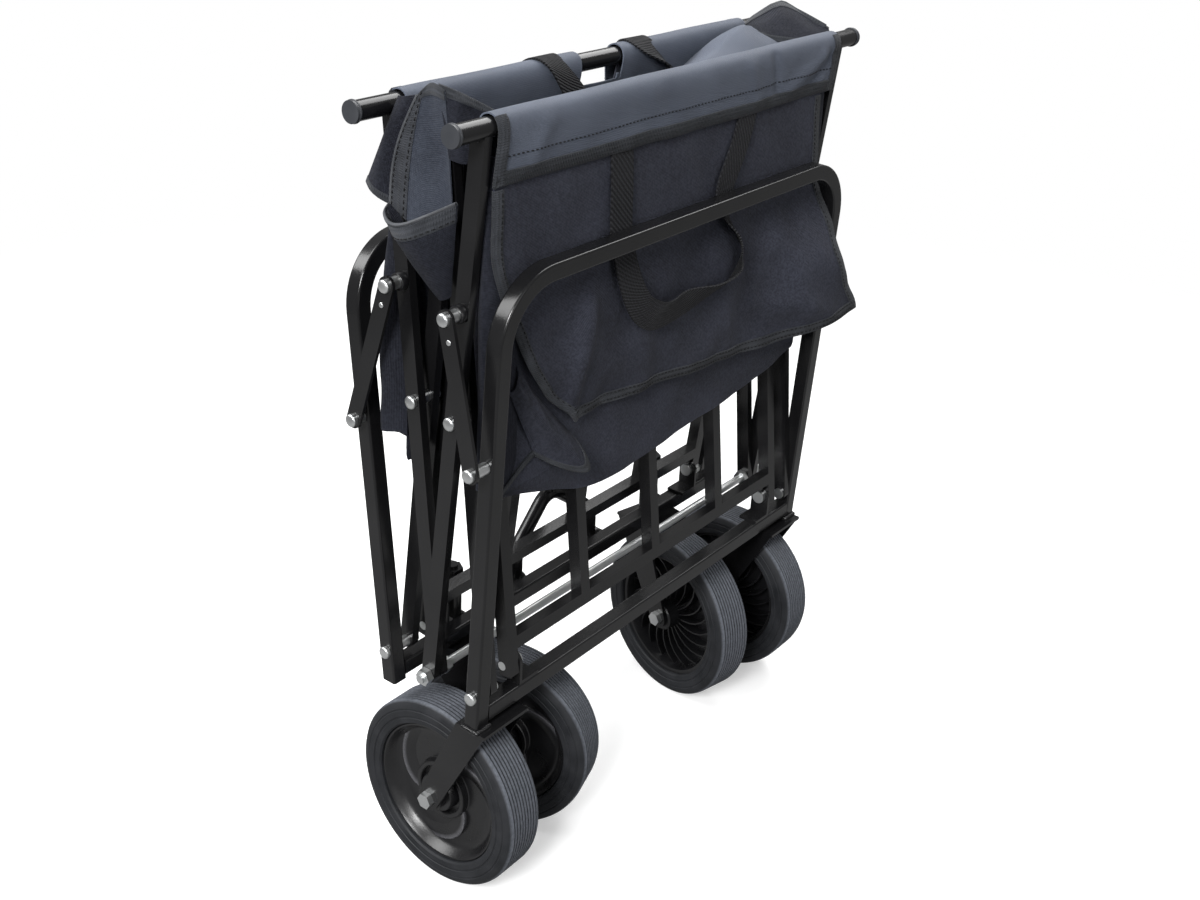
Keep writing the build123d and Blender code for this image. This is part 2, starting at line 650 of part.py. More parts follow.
with BuildPart() as rear_flap:
    for span in range(len(flap_heights) - 1):
        high = flap_heights[span]
        low = flap_heights[span + 1]
        for x, depths in flap_sections:
            with BuildSketch(bar_plane(x)):
                with BuildLine():
                    Polyline(
                        (depths[span], high),
                        (depths[span + 1], low),
                        (depths[span + 1] - CLOTH, low),
                        (depths[span] - CLOTH, high),
                        close=True,
                    )
                make_face()
        loft(ruled=True)
    with BuildSketch(Plane.XZ.offset(-2 * HOOP_HALF)):
        with BuildLine():
            Polyline(
                (flap_top_left, flap_top_z),
                (flap_top_right, flap_top_z),
                (flap_right_inner, flap_right_z),
                (flap_corner_x, FLAP_BOTTOM_Z),
                (flap_low_left, FLAP_LEFT_BOTTOM_Z),
                close=True,
            )
        make_face()
    extrude(amount=4 * HOOP_HALF, mode=Mode.INTERSECT)
save(rear_flap, "rear_flap")

# Webbing loop sewn under the rear sleeve's hem, hanging behind the hoop's top bar
strap_y = flap_back_y - CLOTH - CLOTH_GAP
strap_route = (
    (STRAP_LEFT_X, flap_top_z),
    (STRAP_LEFT_X, flap_top_z - STRAP_LEFT_DROP),
    (STRAP_TURN_X, flap_top_z - STRAP_TURN_DROP),
    (STRAP_LOOP_X, flap_top_z - STRAP_LOOP_DROP),
    (STRAP_WAIST_X, flap_top_z - STRAP_WAIST_DROP),
    (STRAP_RIGHT_X, flap_top_z),
)
with BuildPart() as rear_strap:
    with BuildSketch(Plane(origin=(0, strap_y, 0), x_dir=(1, 0, 0), z_dir=(0, -1, 0))):
        with BuildLine():
            Polyline(*strap_route)
        trace(line_width=STRAP_WIDTH)
    extrude(amount=STRAP_T)
save(rear_strap, "rear_strap")

# Side panels: shown pressed together between the walls
panel_half = rail_y - CLOTH / 2 - CLOTH_GAP
panel_top = rail_z - sleeve_out - CLOTH_GAP
with BuildPart() as side_panels:
    for side in SIDES.values():
        with BuildSketch(bar_plane(min(side * side_panel_x, side * (side_panel_x - CLOTH)))):
            with Locations((0, (wall_bottom + panel_top) / 2)):
                Rectangle(2 * panel_half, panel_top - wall_bottom)
        extrude(amount=CLOTH)
save(side_panels, "side_panels")

# Bound edges where the side panels meet the walls
for end, way in ENDS.items():
    with BuildPart() as side_binding:
        for side in SIDES.values():
            with BuildSketch(Plane.XY.offset(wall_bottom)):
                binding_x = side * (side_panel_x - CLOTH - BINDING)
                with Locations((binding_x, way * (panel_half - BINDING / 2))):
                    Circle(BINDING / 2)
            extrude(amount=panel_top - wall_bottom)
    save(side_binding, f"{end}_side_binding")

# Side pockets: open pouches with a back that hangs on the heads of the top joints' rivets
pocket_back = rear_cross_x + SEAT_GAP
pocket_top = top_joint_z + PIN_HEAD_R + POCKET_LIP
pocket_levels = (
    (POCKET_TIP_Z, POCKET_TIP_DEPTH, POCKET_TIP_HALF),
    (POCKET_RIM_Z, POCKET_DEPTH, POCKET_RIM_HALF),
)
with BuildPart() as side_pockets:
    for z, depth, half in pocket_levels:
        with BuildSketch(Plane.XY.offset(z)):
            with Locations((pocket_back + depth / 2, 0)):
                Rectangle(depth, 2 * half)
    loft()
    offset(amount=-CLOTH, openings=side_pockets.faces().sort_by(Axis.Z)[-1])
    with BuildSketch(bar_plane(pocket_back)):
        with Locations((0, (POCKET_RIM_Z + pocket_top) / 2)):
            Rectangle(2 * POCKET_RIM_HALF, pocket_top - POCKET_RIM_Z)
        with Locations((0, top_joint_z)):
            Circle(PIN_HEAD_R + CLOTH_GAP, mode=Mode.SUBTRACT)
    extrude(amount=CLOTH)
    mirror(about=Plane.YZ)
save(side_pockets, "side_pockets")

# Tub base: drawn up over the folded floor frames
base_apex_z = ear_z + FLOOR_REAR_LENGTH * cos(floor_lean) + BASE_APEX_GAP
base_edge_y = rail_y - CLOTH / 2 - CLOTH_GAP - HEM / 2
base_edge_z = wall_bottom + HEM + CLOTH_GAP
with BuildPart() as tub_base:
    with BuildSketch(bar_plane(-base_half)):
        with BuildLine():
            Polyline(
                (-base_edge_y, base_edge_z),
                (-BASE_APEX_HALF, base_apex_z),
                (BASE_APEX_HALF, base_apex_z),
                (base_edge_y, base_edge_z),
            )
        trace(line_width=CLOTH)
    extrude(amount=2 * base_half)
save(tub_base, "tub_base")

# Hems along the base's lower edges
for end, way in ENDS.items():
    with BuildPart() as base_hem:
        with BuildSketch(bar_plane(-base_half)):
            with Locations((way * base_edge_y, wall_bottom + HEM / 2)):
                RectangleRounded(HEM, HEM, HEM / 4)
        extrude(amount=2 * base_half)
    save(base_hem, f"{end}_base_hem")

# Pull handle: lugs and pivot bolts on the front crossbar
handle_y = front_face + HANDLE_PIVOT_OUT
handle_z = crossbar_z - TUBE / 2
lug_in = HANDLE_HALF + YOKE_EYE_WIDTH / 2 + SEAT_GAP
with BuildPart() as handle_lugs:
    for side in SIDES.values():
        with BuildSketch(bar_plane(min(side * lug_in, side * (lug_in + LUG_T)))):
            with Locations((handle_y, handle_z)):
                Circle(PIN_R + LUG_RIM)
            with Locations(((front_face + handle_y) / 2, handle_z + TUBE / 4)):
                Rectangle(handle_y - front_face, TUBE / 2)
        extrude(amount=LUG_T)
        eye_in = HANDLE_HALF - YOKE_EYE_WIDTH / 2 - SEAT_GAP
        cross_pin(side * eye_in, side * lug_in, handle_y, handle_z, PIN_R)
        cross_pin(side * eye_in, side * (eye_in - PIN_HEAD_T), handle_y, handle_z, PIN_HEAD_R)
save(handle_lugs, "handle_lugs")

# Wishbone yoke with its stem, parallel to the hoop
fork_z = handle_z + YOKE_FORK_RISE
front_lean = leans["front"]
stem_y = hoop_y(fork_z, "front") + (TUBE / 2 + SLIDER_R) / cos(front_lean) + STEM_STANDOFF
stem_plane = Plane(
    origin=(0, stem_y, fork_z), x_dir=(1, 0, 0), z_dir=(0, sin(front_lean), cos(front_lean))
)
with BuildPart() as handle_yoke:
    with BuildSketch(stem_plane):
        Circle(STEM_R)
    extrude(amount=STEM_LENGTH)
    with BuildLine() as legs:
        FilletPolyline(
            (-HANDLE_HALF, handle_y, handle_z),
            (-HANDLE_HALF, handle_y, handle_z + YOKE_FORK_RISE / 2),
            (0, stem_y, fork_z + YOKE_R),
            (HANDLE_HALF, handle_y, handle_z + YOKE_FORK_RISE / 2),
            (HANDLE_HALF, handle_y, handle_z),
            radius=YOKE_BEND,
        )
    with BuildSketch(Plane(origin=legs.wire() @ 0, z_dir=legs.wire() % 0)):
        Circle(YOKE_R)
    sweep(path=legs.wire())
    for side in SIDES.values():
        near = side * (HANDLE_HALF - YOKE_EYE_WIDTH / 2)
        far = side * (HANDLE_HALF + YOKE_EYE_WIDTH / 2)
        cross_pin(near, far, handle_y, handle_z, YOKE_EYE_R)
        cross_pin(near, far, handle_y, handle_z, PIN_R + RUN_GAP, Mode.SUBTRACT)
save(handle_yoke, "handle_yoke")

# Sliding tube and loop grip
slider_length = STEM_LENGTH - SLIDER_START + STEM_END_GAP
slider_plane = stem_plane.offset(SLIDER_START)
with BuildPart() as handle_tube:
    with BuildSketch(slider_plane):
        Circle(SLIDER_R)
        Circle(STEM_R + RUN_GAP, mode=Mode.SUBTRACT)
    extrude(amount=slider_length)
save(handle_tube, "handle_tube")

grip_base = stem_plane.offset(SLIDER_START + slider_length)
grip_plane = Plane(
    origin=grip_base.origin, x_dir=(1, 0, 0), z_dir=(0, -cos(front_lean), sin(front_lean))
)
with BuildPart() as handle_grip:
    with BuildSketch(grip_plane.offset(-GRIP_DEPTH / 2)):
        with Locations((0, GRIP_HEIGHT / 2)):
            RectangleRounded(GRIP_WIDTH, GRIP_HEIGHT, GRIP_CORNER)
            hand_width = GRIP_WIDTH - 2 * GRIP_BAR
            hand_height = GRIP_HEIGHT - 2 * GRIP_BAR
            RectangleRounded(hand_width, hand_height, GRIP_CORNER / 2, mode=Mode.SUBTRACT)
    extrude(amount=GRIP_DEPTH)
    fillet(handle_grip.edges().filter_by(grip_plane), radius=GRIP_EDGE)
    with BuildSketch(grip_base.offset(-GRIP_SOCKET)):
        Circle(SLIDER_R + LUG_RIM)
        Circle(SLIDER_R + RUN_GAP, mode=Mode.SUBTRACT)
    extrude(amount=GRIP_SOCKET + GRIP_EDGE)
    with BuildSketch(grip_base.offset(-GRIP_SOCKET)):
        Circle(SLIDER_R + RUN_GAP)
    extrude(amount=GRIP_SOCKET, mode=Mode.SUBTRACT)
save(handle_grip, "handle_grip")
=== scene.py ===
# %% [markdown]
# A folding wagon, dressed. The metal frame comes in as finished parts: hoops, bars, links, rails,
# forks and floor ladders. Every piece is in metres and already stands where the frame says.

# %% Load the frame
import json
import math

import bpy
from mathutils import Matrix, Vector, noise


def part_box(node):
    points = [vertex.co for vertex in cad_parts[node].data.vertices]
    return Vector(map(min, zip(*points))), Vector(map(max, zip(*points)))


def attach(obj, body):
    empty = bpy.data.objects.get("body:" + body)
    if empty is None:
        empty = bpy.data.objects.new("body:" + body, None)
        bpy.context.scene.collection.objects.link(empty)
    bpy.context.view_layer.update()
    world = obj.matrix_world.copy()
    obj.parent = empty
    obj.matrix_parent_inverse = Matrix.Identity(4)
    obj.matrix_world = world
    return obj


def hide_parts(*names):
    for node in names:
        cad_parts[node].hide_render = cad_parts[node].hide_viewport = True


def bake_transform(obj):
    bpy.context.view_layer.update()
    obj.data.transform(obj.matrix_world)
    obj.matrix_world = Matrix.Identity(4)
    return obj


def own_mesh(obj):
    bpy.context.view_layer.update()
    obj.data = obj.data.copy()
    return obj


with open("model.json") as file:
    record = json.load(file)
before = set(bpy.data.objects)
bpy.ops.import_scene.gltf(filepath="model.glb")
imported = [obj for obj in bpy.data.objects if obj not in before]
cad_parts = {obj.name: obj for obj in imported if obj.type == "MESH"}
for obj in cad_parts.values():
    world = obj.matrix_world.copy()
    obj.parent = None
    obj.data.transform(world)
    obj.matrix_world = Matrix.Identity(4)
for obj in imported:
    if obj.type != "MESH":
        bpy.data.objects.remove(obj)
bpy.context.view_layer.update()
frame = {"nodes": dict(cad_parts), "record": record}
MM = 0.001

# %% [markdown]
# The camera stands where the photographer stood: to the left of the near end and a little above it.
# Its place, its turn and its focal length came from lining up rail ends, rivets and wheels.
# The picture was cropped off centre, so the lens is shifted a little to give the same crop.

# %% Camera
PHOTO_WIDTH = 1200
PHOTO_HEIGHT = 900
FOCAL_PX = 1459.42
CENTRE_PX = (560, 350)
SENSOR_MM = 36
CAMERA_PLACE = Vector((-1.00228, -0.71699, 0.9425))
CAMERA_YAW, CAMERA_PITCH, CAMERA_ROLL = (math.radians(a) for a in (-51.8, 22.39, 2.1))

level = math.cos(CAMERA_PITCH)
forward = Vector((-math.sin(CAMERA_YAW) * level, math.cos(CAMERA_YAW) * level, -math.sin(CAMERA_PITCH)))
right = Vector((math.cos(CAMERA_YAW), math.sin(CAMERA_YAW), 0))
up = right.cross(forward)
rolled_right = right * math.cos(CAMERA_ROLL) + up * math.sin(CAMERA_ROLL)
rolled_up = up * math.cos(CAMERA_ROLL) - right * math.sin(CAMERA_ROLL)
lens = bpy.data.cameras.new("camera")
lens.sensor_width = SENSOR_MM
lens.lens = FOCAL_PX / PHOTO_WIDTH * SENSOR_MM
lens.shift_x = (PHOTO_WIDTH / 2 - CENTRE_PX[0]) / PHOTO_WIDTH
lens.shift_y = (CENTRE_PX[1] - PHOTO_HEIGHT / 2) / PHOTO_WIDTH
camera = bpy.data.objects.new("camera", lens)
bpy.context.scene.collection.objects.link(camera)
turn = Matrix((rolled_right, rolled_up, -forward)).transposed().to_4x4()
camera.matrix_world = Matrix.Translation(CAMERA_PLACE) @ turn
bpy.context.scene.camera = camera
bpy.context.scene.view_settings.view_transform = "Standard"
print("lens", round(lens.lens, 2), "mm")

# %% [markdown]
# The stage is a wide white floor under a white sky. The camera sees pure white, while the light that
# falls on the wagon is only a moderate grey plus four large soft lamps, so a colour renders about as
# it is written. The wagon itself sees a dimmer floor, so that black paint stays black, the folds of
# the cloth keep their shading and only the lamps draw highlights. Far away the floor is plain white.

# %% Floor
def feed(tree, node, feeds):
    """Set a node's inputs to numbers or colours, or link them to the outputs of other nodes."""
    for socket, value in feeds.items():
        if isinstance(value, bpy.types.NodeSocket):
            tree.links.new(value, node.inputs[socket])
        else:
            node.inputs[socket].default_value = value


def add_node(tree, kind, feeds=None, **settings):
    """The outputs of a new shader node, with its settings made and its inputs fed."""
    node = tree.nodes.new("ShaderNode" + kind)
    for key, value in settings.items():
        setattr(node, key, value)
    feed(tree, node, feeds or {})
    return node.outputs


def math_node(tree, kind, first, second):
    """The result of a Math node whose two inputs are sockets or numbers."""
    return add_node(tree, "Math", {0: first, 1: second}, operation=kind)[0]


def only_seen(tree, mirrored_share):
    """A value that is 1 for rays from the camera and less for rays that shiny surfaces send out."""
    path = add_node(tree, "LightPath")
    mirrored = math_node(tree, "MULTIPLY", path["Is Glossy Ray"], mirrored_share)
    seen = math_node(tree, "MAXIMUM", path["Is Camera Ray"], mirrored)
    return math_node(tree, "MAXIMUM", seen, path["Is Transmission Ray"])


def primitive(add, name, **options):
    """A mesh that one of the add operators makes, left alone in the selection."""
    bpy.ops.object.select_all(action="DESELECT")
    add(**options)
    piece = bpy.context.object
    piece.name = name
    return piece


FLOOR_SIZE = 14.0
FLOOR_GLOW = 0.40
FLOOR_PAINT = 0.70
FLOOR_NEAR, FLOOR_FAR = 0.7, 1.9
MIRRORED_FLOOR = 0.25
floor = primitive(bpy.ops.mesh.primitive_plane_add, "floor", size=FLOOR_SIZE)
floor_white = bpy.data.materials.new("floor_white")
floor_white.use_nodes = True
tree = floor_white.node_tree
tree.nodes.clear()
camera_ray = add_node(tree, "LightPath")["Is Camera Ray"]
shade = add_node(tree, "MapRange", {"Value": camera_ray, "To Min": FLOOR_PAINT * MIRRORED_FLOOR,
                                    "To Max": FLOOR_PAINT})
paint = add_node(tree, "BsdfDiffuse", {"Color": shade[0]})
seen = only_seen(tree, MIRRORED_FLOOR)
glow = add_node(tree, "Emission", {"Strength": seen, "Color": (FLOOR_GLOW, FLOOR_GLOW, FLOOR_GLOW, 1)})
near_floor = add_node(tree, "AddShader", {0: paint[0], 1: glow[0]})
far_floor = add_node(tree, "Emission", {"Strength": seen})
place = add_node(tree, "TexCoord")["Object"]
reach = add_node(tree, "VectorMath", {0: place}, operation="LENGTH")["Value"]
fade = add_node(tree, "MapRange", {"Value": reach, "From Min": FLOOR_NEAR, "From Max": FLOOR_FAR},
                interpolation_type="SMOOTHSTEP")
whole = add_node(tree, "MixShader", {0: fade[0], 1: near_floor[0], 2: far_floor[0]})
add_node(tree, "OutputMaterial", {"Surface": whole[0]})
floor.data.materials.append(floor_white)
print("floor", FLOOR_SIZE, "m wide")

# %% Sky
SKY_LIGHT = 0.28
world = bpy.data.worlds.new("white_sky")
world.use_nodes = True
bpy.context.scene.world = world
tree = world.node_tree
strength = add_node(tree, "MapRange", {"Value": only_seen(tree, 0), "To Min": SKY_LIGHT, "To Max": 1.0})
feed(tree, tree.nodes["Background"], {"Color": (1, 1, 1, 1), "Strength": strength[0]})
print("sky light", SKY_LIGHT)

# %% Lamps
LAMPS = (
    ("key_lamp", (-2.3, -0.75, 1.9), 0.8, 96),
    ("top_lamp", (1.2, 0.15, 2.3), 1.8, 56),
    ("rim_lamp", (-1.1, 1.3, 2.1), 1.5, 55),
    ("fill_lamp", (-0.7, -2.4, 1.1), 1.5, 14),
)
AIM = Vector((0, 0, 0.35))
for name, place, size, power in LAMPS:
    lamp = bpy.data.lights.new(name, "AREA")
    lamp.size = size
    lamp.energy = power
    stand = bpy.data.objects.new(name, lamp)
    stand.location = place
    stand.rotation_euler = (AIM - Vector(place)).to_track_quat("-Z", "Y").to_euler()
    bpy.context.scene.collection.objects.link(stand)
print("lamps", len(LAMPS))

# %% [markdown]
# Several finishes share the same effects, so each effect is built once as a node group.
# Mottle is the slow unevenness of any surface. Grain is the fine texture of paint and mouldings.
# Weave draws crossing threads from a UV map that is measured in metres, so the threads follow the
# cloth and keep their real size. Ribs draws the slanting ribs of webbing in the same way.

# %% Shared effects
VALUE = "NodeSocketFloat"
WAVE_PERIOD = 0.314
RIB_SLANT = 38
RIB_CROSS = 0.35


def effect(name, inputs, output):
    """An empty node group with value sockets; gives the group, what comes in and what goes out."""
    group = bpy.data.node_groups.new(name, "ShaderNodeTree")
    for label, value in inputs.items():
        group.interface.new_socket(label, in_out="INPUT", socket_type=VALUE).default_value = value
    group.interface.new_socket(output, in_out="OUTPUT", socket_type=VALUE)
    start = group.nodes.new("NodeGroupInput")
    end = group.nodes.new("NodeGroupOutput")
    return group, start.outputs, end.inputs[output]


def clouds(group, scale, detail):
    """Smooth noise that fills the object's own space."""
    place = add_node(group, "TexCoord")["Object"]
    return add_node(group, "TexNoise", {"Vector": place, "Scale": scale, "Detail": detail})["Fac"]


mottle, given, result = effect("Mottle", {"Scale": 20.0, "Contrast": 2.0}, "Mask")
off = math_node(mottle, "SUBTRACT", clouds(mottle, given["Scale"], 4.0), 0.5)
spread = math_node(mottle, "MULTIPLY", off, given["Contrast"])
mask = add_node(mottle, "Clamp", {"Value": math_node(mottle, "ADD", spread, 0.5)})
mottle.links.new(mask[0], result)

grain, given, result = effect("Grain", {"Scale": 900.0}, "Height")
grain.links.new(clouds(grain, given["Scale"], 2.0), result)


def threads(group, turn, pitch):
    """Bands across the UV map, one for each thread, turned by some degrees."""
    place = add_node(group, "TexCoord")["UV"]
    turned = add_node(group, "Mapping", {"Vector": place, "Rotation": (0, 0, math.radians(turn))})
    feeds = {"Vector": turned[0], "Scale": math_node(group, "DIVIDE", WAVE_PERIOD, pitch)}
    return add_node(group, "TexWave", feeds, bands_direction="X")["Fac"]


weave, given, result = effect("Weave", {"Pitch": 0.0011}, "Height")
warp, weft = (threads(weave, turn, given["Pitch"]) for turn in (0, 90))
weave.links.new(math_node(weave, "MULTIPLY", warp, weft), result)

ribs, given, result = effect("Ribs", {"Pitch": 0.0024}, "Height")
slant, cross = (threads(ribs, turn, given["Pitch"]) for turn in (RIB_SLANT, 90))
ribs.links.new(math_node(ribs, "ADD", slant, math_node(ribs, "MULTIPLY", cross, RIB_CROSS)), result)
print("effects", [g.name for g in bpy.data.node_groups])

# %% [markdown]
# A finish here is a Principled shader with three things that vary: colour between two close tones,
# roughness between two values, and a bump from grain, weave or ribs. The frame is glossy black powder
# coat, the rivets and rod are bright zinc, the wheels are grainy moulded plastic with dusty rubber and
# a painted highlight on the crests of the rim's steps, and the rail caps are a lighter plastic that is a
# painted reflection. The tub is charcoal polyester, pale where it is coated and darker where it is not,
# and a still darker copy of the same cloth is painted shade on the pouch fronts, gussets, corners and
# two loose folds.

# %% What a finish is
# The specks mix real dust on a tyre's tread with a painted highlight on the crests of the rim's steps.
SPECK_SCALE, SPECK_CONTRAST = 380, 3.0
DUST_AND_HIGHLIGHT_LEAST, DUST_AND_HIGHLIGHT_SPECKS = 0.55, 0.35


def finish(name, dark, light, rough, mottled, bump, shine=0.5, metal=0.0, sheen=0.0, dust_and_highlight=None,
           thread_tone=None, slubs=None):
    """A material whose colour and roughness drift between two values, with a fine bump.
    Mottled is the scale and contrast of the drift, and bump is an effect, its scale and its height.
    The mask argument is a mask's name on the mesh and a colour, which shows there in specks: dust on tyre treads, a
    painted highlight on rim crests.
    Thread_tone is the colour of the raised threads and how much of it shows.
    Slubs are uneven threads: the size and contrast of their specks and their share in the colour."""
    made = bpy.data.materials.new(name)
    made.use_nodes = True
    tree = made.node_tree

    def mottling(scale, contrast):
        feeds = {"Scale": scale, "Contrast": contrast}
        return add_node(tree, "Group", feeds, node_tree=mottle)["Mask"]

    def mixed(share, first, second):
        feeds = {"Factor": share, "A": first, "B": second}
        return add_node(tree, "Mix", feeds, data_type="RGBA")["Result"]

    shade = drift = mottling(*mottled)
    if slubs:
        *specks, share = slubs
        shade = math_node(tree, "ADD", math_node(tree, "MULTIPLY", drift, 1 - share),
                          math_node(tree, "MULTIPLY", mottling(*specks), share))
    colour = mixed(shade, (*dark, 1), (*light, 1))
    # Specks of a second colour where the mask is set: dust on a tyre's tread, a painted highlight on the rim's step
    # crests.
    if dust_and_highlight:
        mask = add_node(tree, "Attribute", attribute_name=dust_and_highlight[0])["Fac"]
        specks = math_node(tree, "MULTIPLY", mottling(SPECK_SCALE, SPECK_CONTRAST), DUST_AND_HIGHLIGHT_SPECKS)
        patchy = math_node(tree, "MULTIPLY", mask, math_node(tree, "ADD", specks, DUST_AND_HIGHLIGHT_LEAST))
        colour = mixed(patchy, colour, (*dust_and_highlight[1], 1))
    gloss = add_node(tree, "MapRange", {"Value": drift, "To Min": rough[0], "To Max": rough[1]})
    group, scale, height = bump
    texture = add_node(tree, "Group", {0: scale}, node_tree=group)["Height"]
    if thread_tone:
        tone, amount = thread_tone
        colour = mixed(math_node(tree, "MULTIPLY", texture, amount), colour, (*tone, 1))
    relief = add_node(tree, "Bump", {"Height": texture, "Distance": height})
    feed(tree, tree.nodes["Principled BSDF"], {
        "Base Color": colour, "Roughness": gloss[0], "Normal": relief[0],
        "Metallic": metal, "Sheen Weight": sheen, "Specular IOR Level": shine})
    return made


print("specks of", round(1000 / SPECK_SCALE, 1), "mm")

# %% The finishes
FINISHES = {
    "frame_black": finish("powder_black", (0.0045, 0.0045, 0.005), (0.0085, 0.0085, 0.009), (0.16, 0.26),
                          (14, 2.2), (grain, 600, 0.00004), shine=0.42),
    "zinc": finish("bright_zinc", (0.62, 0.64, 0.65), (0.76, 0.77, 0.76), (0.28, 0.40),
                   (60, 2.0), (grain, 300, 0.00001), metal=1.0),
    # The moulded plastic's lighter colour on the step-crest mask is a painted highlight.
    "black_plastic": finish("moulded_black", (0.0045, 0.0045, 0.005), (0.008, 0.008, 0.009), (0.24, 0.36),
                            (40, 2.0), (grain, 1500, 0.00005), dust_and_highlight=("edge", (0.10, 0.10, 0.11))),
    "tyre_rubber": finish("grey_black_rubber", (0.010, 0.011, 0.013), (0.020, 0.021, 0.024), (0.50, 0.75),
                          (55, 2.6), (grain, 1100, 0.00020), shine=0.25,
                          dust_and_highlight=("tread", (0.120, 0.130, 0.152))),
    "charcoal_fabric": finish("plain_cloth", (0.0075, 0.0083, 0.0135), (0.0400, 0.0430, 0.0600),
                              (0.58, 0.76), (16, 2.0), (weave, 0.0013, 0.00040), shine=0.16, sheen=0.03,
                              thread_tone=((0.058, 0.062, 0.085), 0.45), slubs=(430, 4.0, 0.45)),
    "black_webbing": finish("black_webbing", (0.0025, 0.0025, 0.003), (0.007, 0.007, 0.008), (0.60, 0.80),
                            (60, 2.0), (ribs, 0.0030, 0.00110), shine=0.20, sheen=0.02,
                            thread_tone=((0.034, 0.035, 0.041), 0.40)),
}
coated_cloth = finish("coated_cloth", (0.058, 0.068, 0.092), (0.092, 0.106, 0.138), (0.52, 0.70),
                      (18, 1.8), (weave, 0.0013, 0.00025), shine=0.22, sheen=0.04,
                      thread_tone=((0.095, 0.108, 0.140), 0.35))
lining_cloth = finish("lining_cloth", (0.014, 0.017, 0.026), (0.038, 0.045, 0.062), (0.52, 0.70),
                      (26, 2.6), (weave, 0.0013, 0.00025), shine=0.22, sheen=0.04,
                      thread_tone=((0.052, 0.060, 0.080), 0.30), slubs=(430, 4.0, 0.35))
# A still darker copy of the charcoal cloth, which is painted shade: the pouch fronts and gussets, the corners and
# two loose folds are cut from it because they stand in shade.
painted_shade_cloth = finish("painted_shade_cloth", (0.0040, 0.0045, 0.0075), (0.0210, 0.0230, 0.0320), (0.62, 0.80),
                    (16, 2.0), (weave, 0.0013, 0.00040), shine=0.12, sheen=0.02,
                    thread_tone=((0.032, 0.034, 0.047), 0.45), slubs=(430, 4.0, 0.45))
tape_cloth = finish("binding_tape", (0.018, 0.020, 0.024), (0.038, 0.041, 0.048), (0.66, 0.84),
                    (70, 2.2), (weave, 0.0020, 0.00050), shine=0.2, sheen=0.06)
thread = finish("black_thread", (0.003, 0.003, 0.004), (0.007, 0.007, 0.008), (0.55, 0.70),
                (200, 2.0), (grain, 2500, 0.00010), shine=0.25)
piping = finish("grey_piping", (0.045, 0.048, 0.054), (0.075, 0.078, 0.085), (0.60, 0.75),
                (120, 2.0), (grain, 1800, 0.00015), shine=0.25)
# A lighter plastic for the rail caps and their lips: its colour is a painted reflection of the light their faces
# catch.
cap_plastic_painted_reflection = finish("cap_plastic_painted_reflection", (0.022, 0.024, 0.028), (0.036, 0.038, 0.043), (0.34, 0.48),
                     (40, 2.0), (grain, 1500, 0.00005), shine=0.40)
print("finishes by slot", list(FINISHES))

# %% [markdown]
# The carried-over metal and plastic parts keep their shapes and only get a finish, chosen by the material
# slot that each part's record names. The rail caps get a lighter plastic instead, which is a painted reflection.

# %% Finish the carried-over parts
slot_of = {row["node"]: row["material_slot"] for row in frame["record"]["subparts"]}
for name, part in frame["nodes"].items():
    part.data.materials.clear()
    part.data.materials.append(cap_plastic_painted_reflection if name.endswith("_caps") else FINISHES[slot_of[name]])
print("finished parts", len(slot_of))

# %% [markdown]
# A wheel is a solid of revolution, so tyre and rim are each drawn as half a section and spun round the
# axle. A circle of points gives the closed loop, each point is moved to its place on the section, and
# the spin makes the body. One wheel is made at the origin, with its outer face towards +X, and copied.

# %% Tyre
def spun(name, section, steps):
    """A closed section of (across, radius) points in millimetres, spun about the X axis."""
    piece = primitive(bpy.ops.mesh.primitive_circle_add, name, vertices=len(section), radius=MM)
    for point, (across, radius) in zip(piece.data.vertices, section):
        point.co = (across * MM, 0, radius * MM)
    bpy.ops.object.mode_set(mode="EDIT")
    bpy.ops.mesh.select_all(action="SELECT")
    bpy.ops.mesh.spin(steps=steps, angle=math.tau, center=(0, 0, 0), axis=(1, 0, 0))
    bpy.ops.mesh.select_all(action="SELECT")
    bpy.ops.mesh.remove_doubles(threshold=MM / 100)
    bpy.ops.mesh.normals_make_consistent(inside=False)
    bpy.ops.object.mode_set(mode="OBJECT")
    return piece


def pick(piece):
    """Select one piece alone and make it active."""
    bpy.ops.object.select_all(action="DESELECT")
    piece.select_set(True)
    bpy.context.view_layer.objects.active = piece


def smooth_shade(piece, degrees):
    """Smooth shading that keeps edges sharper than the angle."""
    pick(piece)
    bpy.ops.object.shade_smooth_by_angle(angle=math.radians(degrees))


def paint_mask(piece, name, amount):
    """Store a value from 0 to 1 at each point, for the finish to read."""
    mask = piece.data.attributes.new(name, "FLOAT", "POINT")
    for point, value in zip(piece.data.vertices, mask.data):
        value.value = amount(point)


TYRE_R = 89
TREAD_HALF = 17.5
GROOVES = 9
GROOVE_PITCH = 3.5
GROOVE_DEPTH = 1.1
GROOVE_LIP, GROOVE_FLOOR = 0.85, 0.5
SIDE_WALL = ((18.6, 66.8), (20.2, 68.2), (20.7, 72.4), (20.1, 73.0), (20.1, 74.2), (20.8, 74.8), (21.0, 79.6),
             (20.4, 80.2), (20.4, 81.0), (20.8, 81.6), (20.2, 84.6), (18.9, 87.0), (17.0, 88.6))


def on_tread(point):
    across, *radial = point.co / MM
    return float(abs(across) < TREAD_HALF and math.hypot(*radial) > TYRE_R - 1)


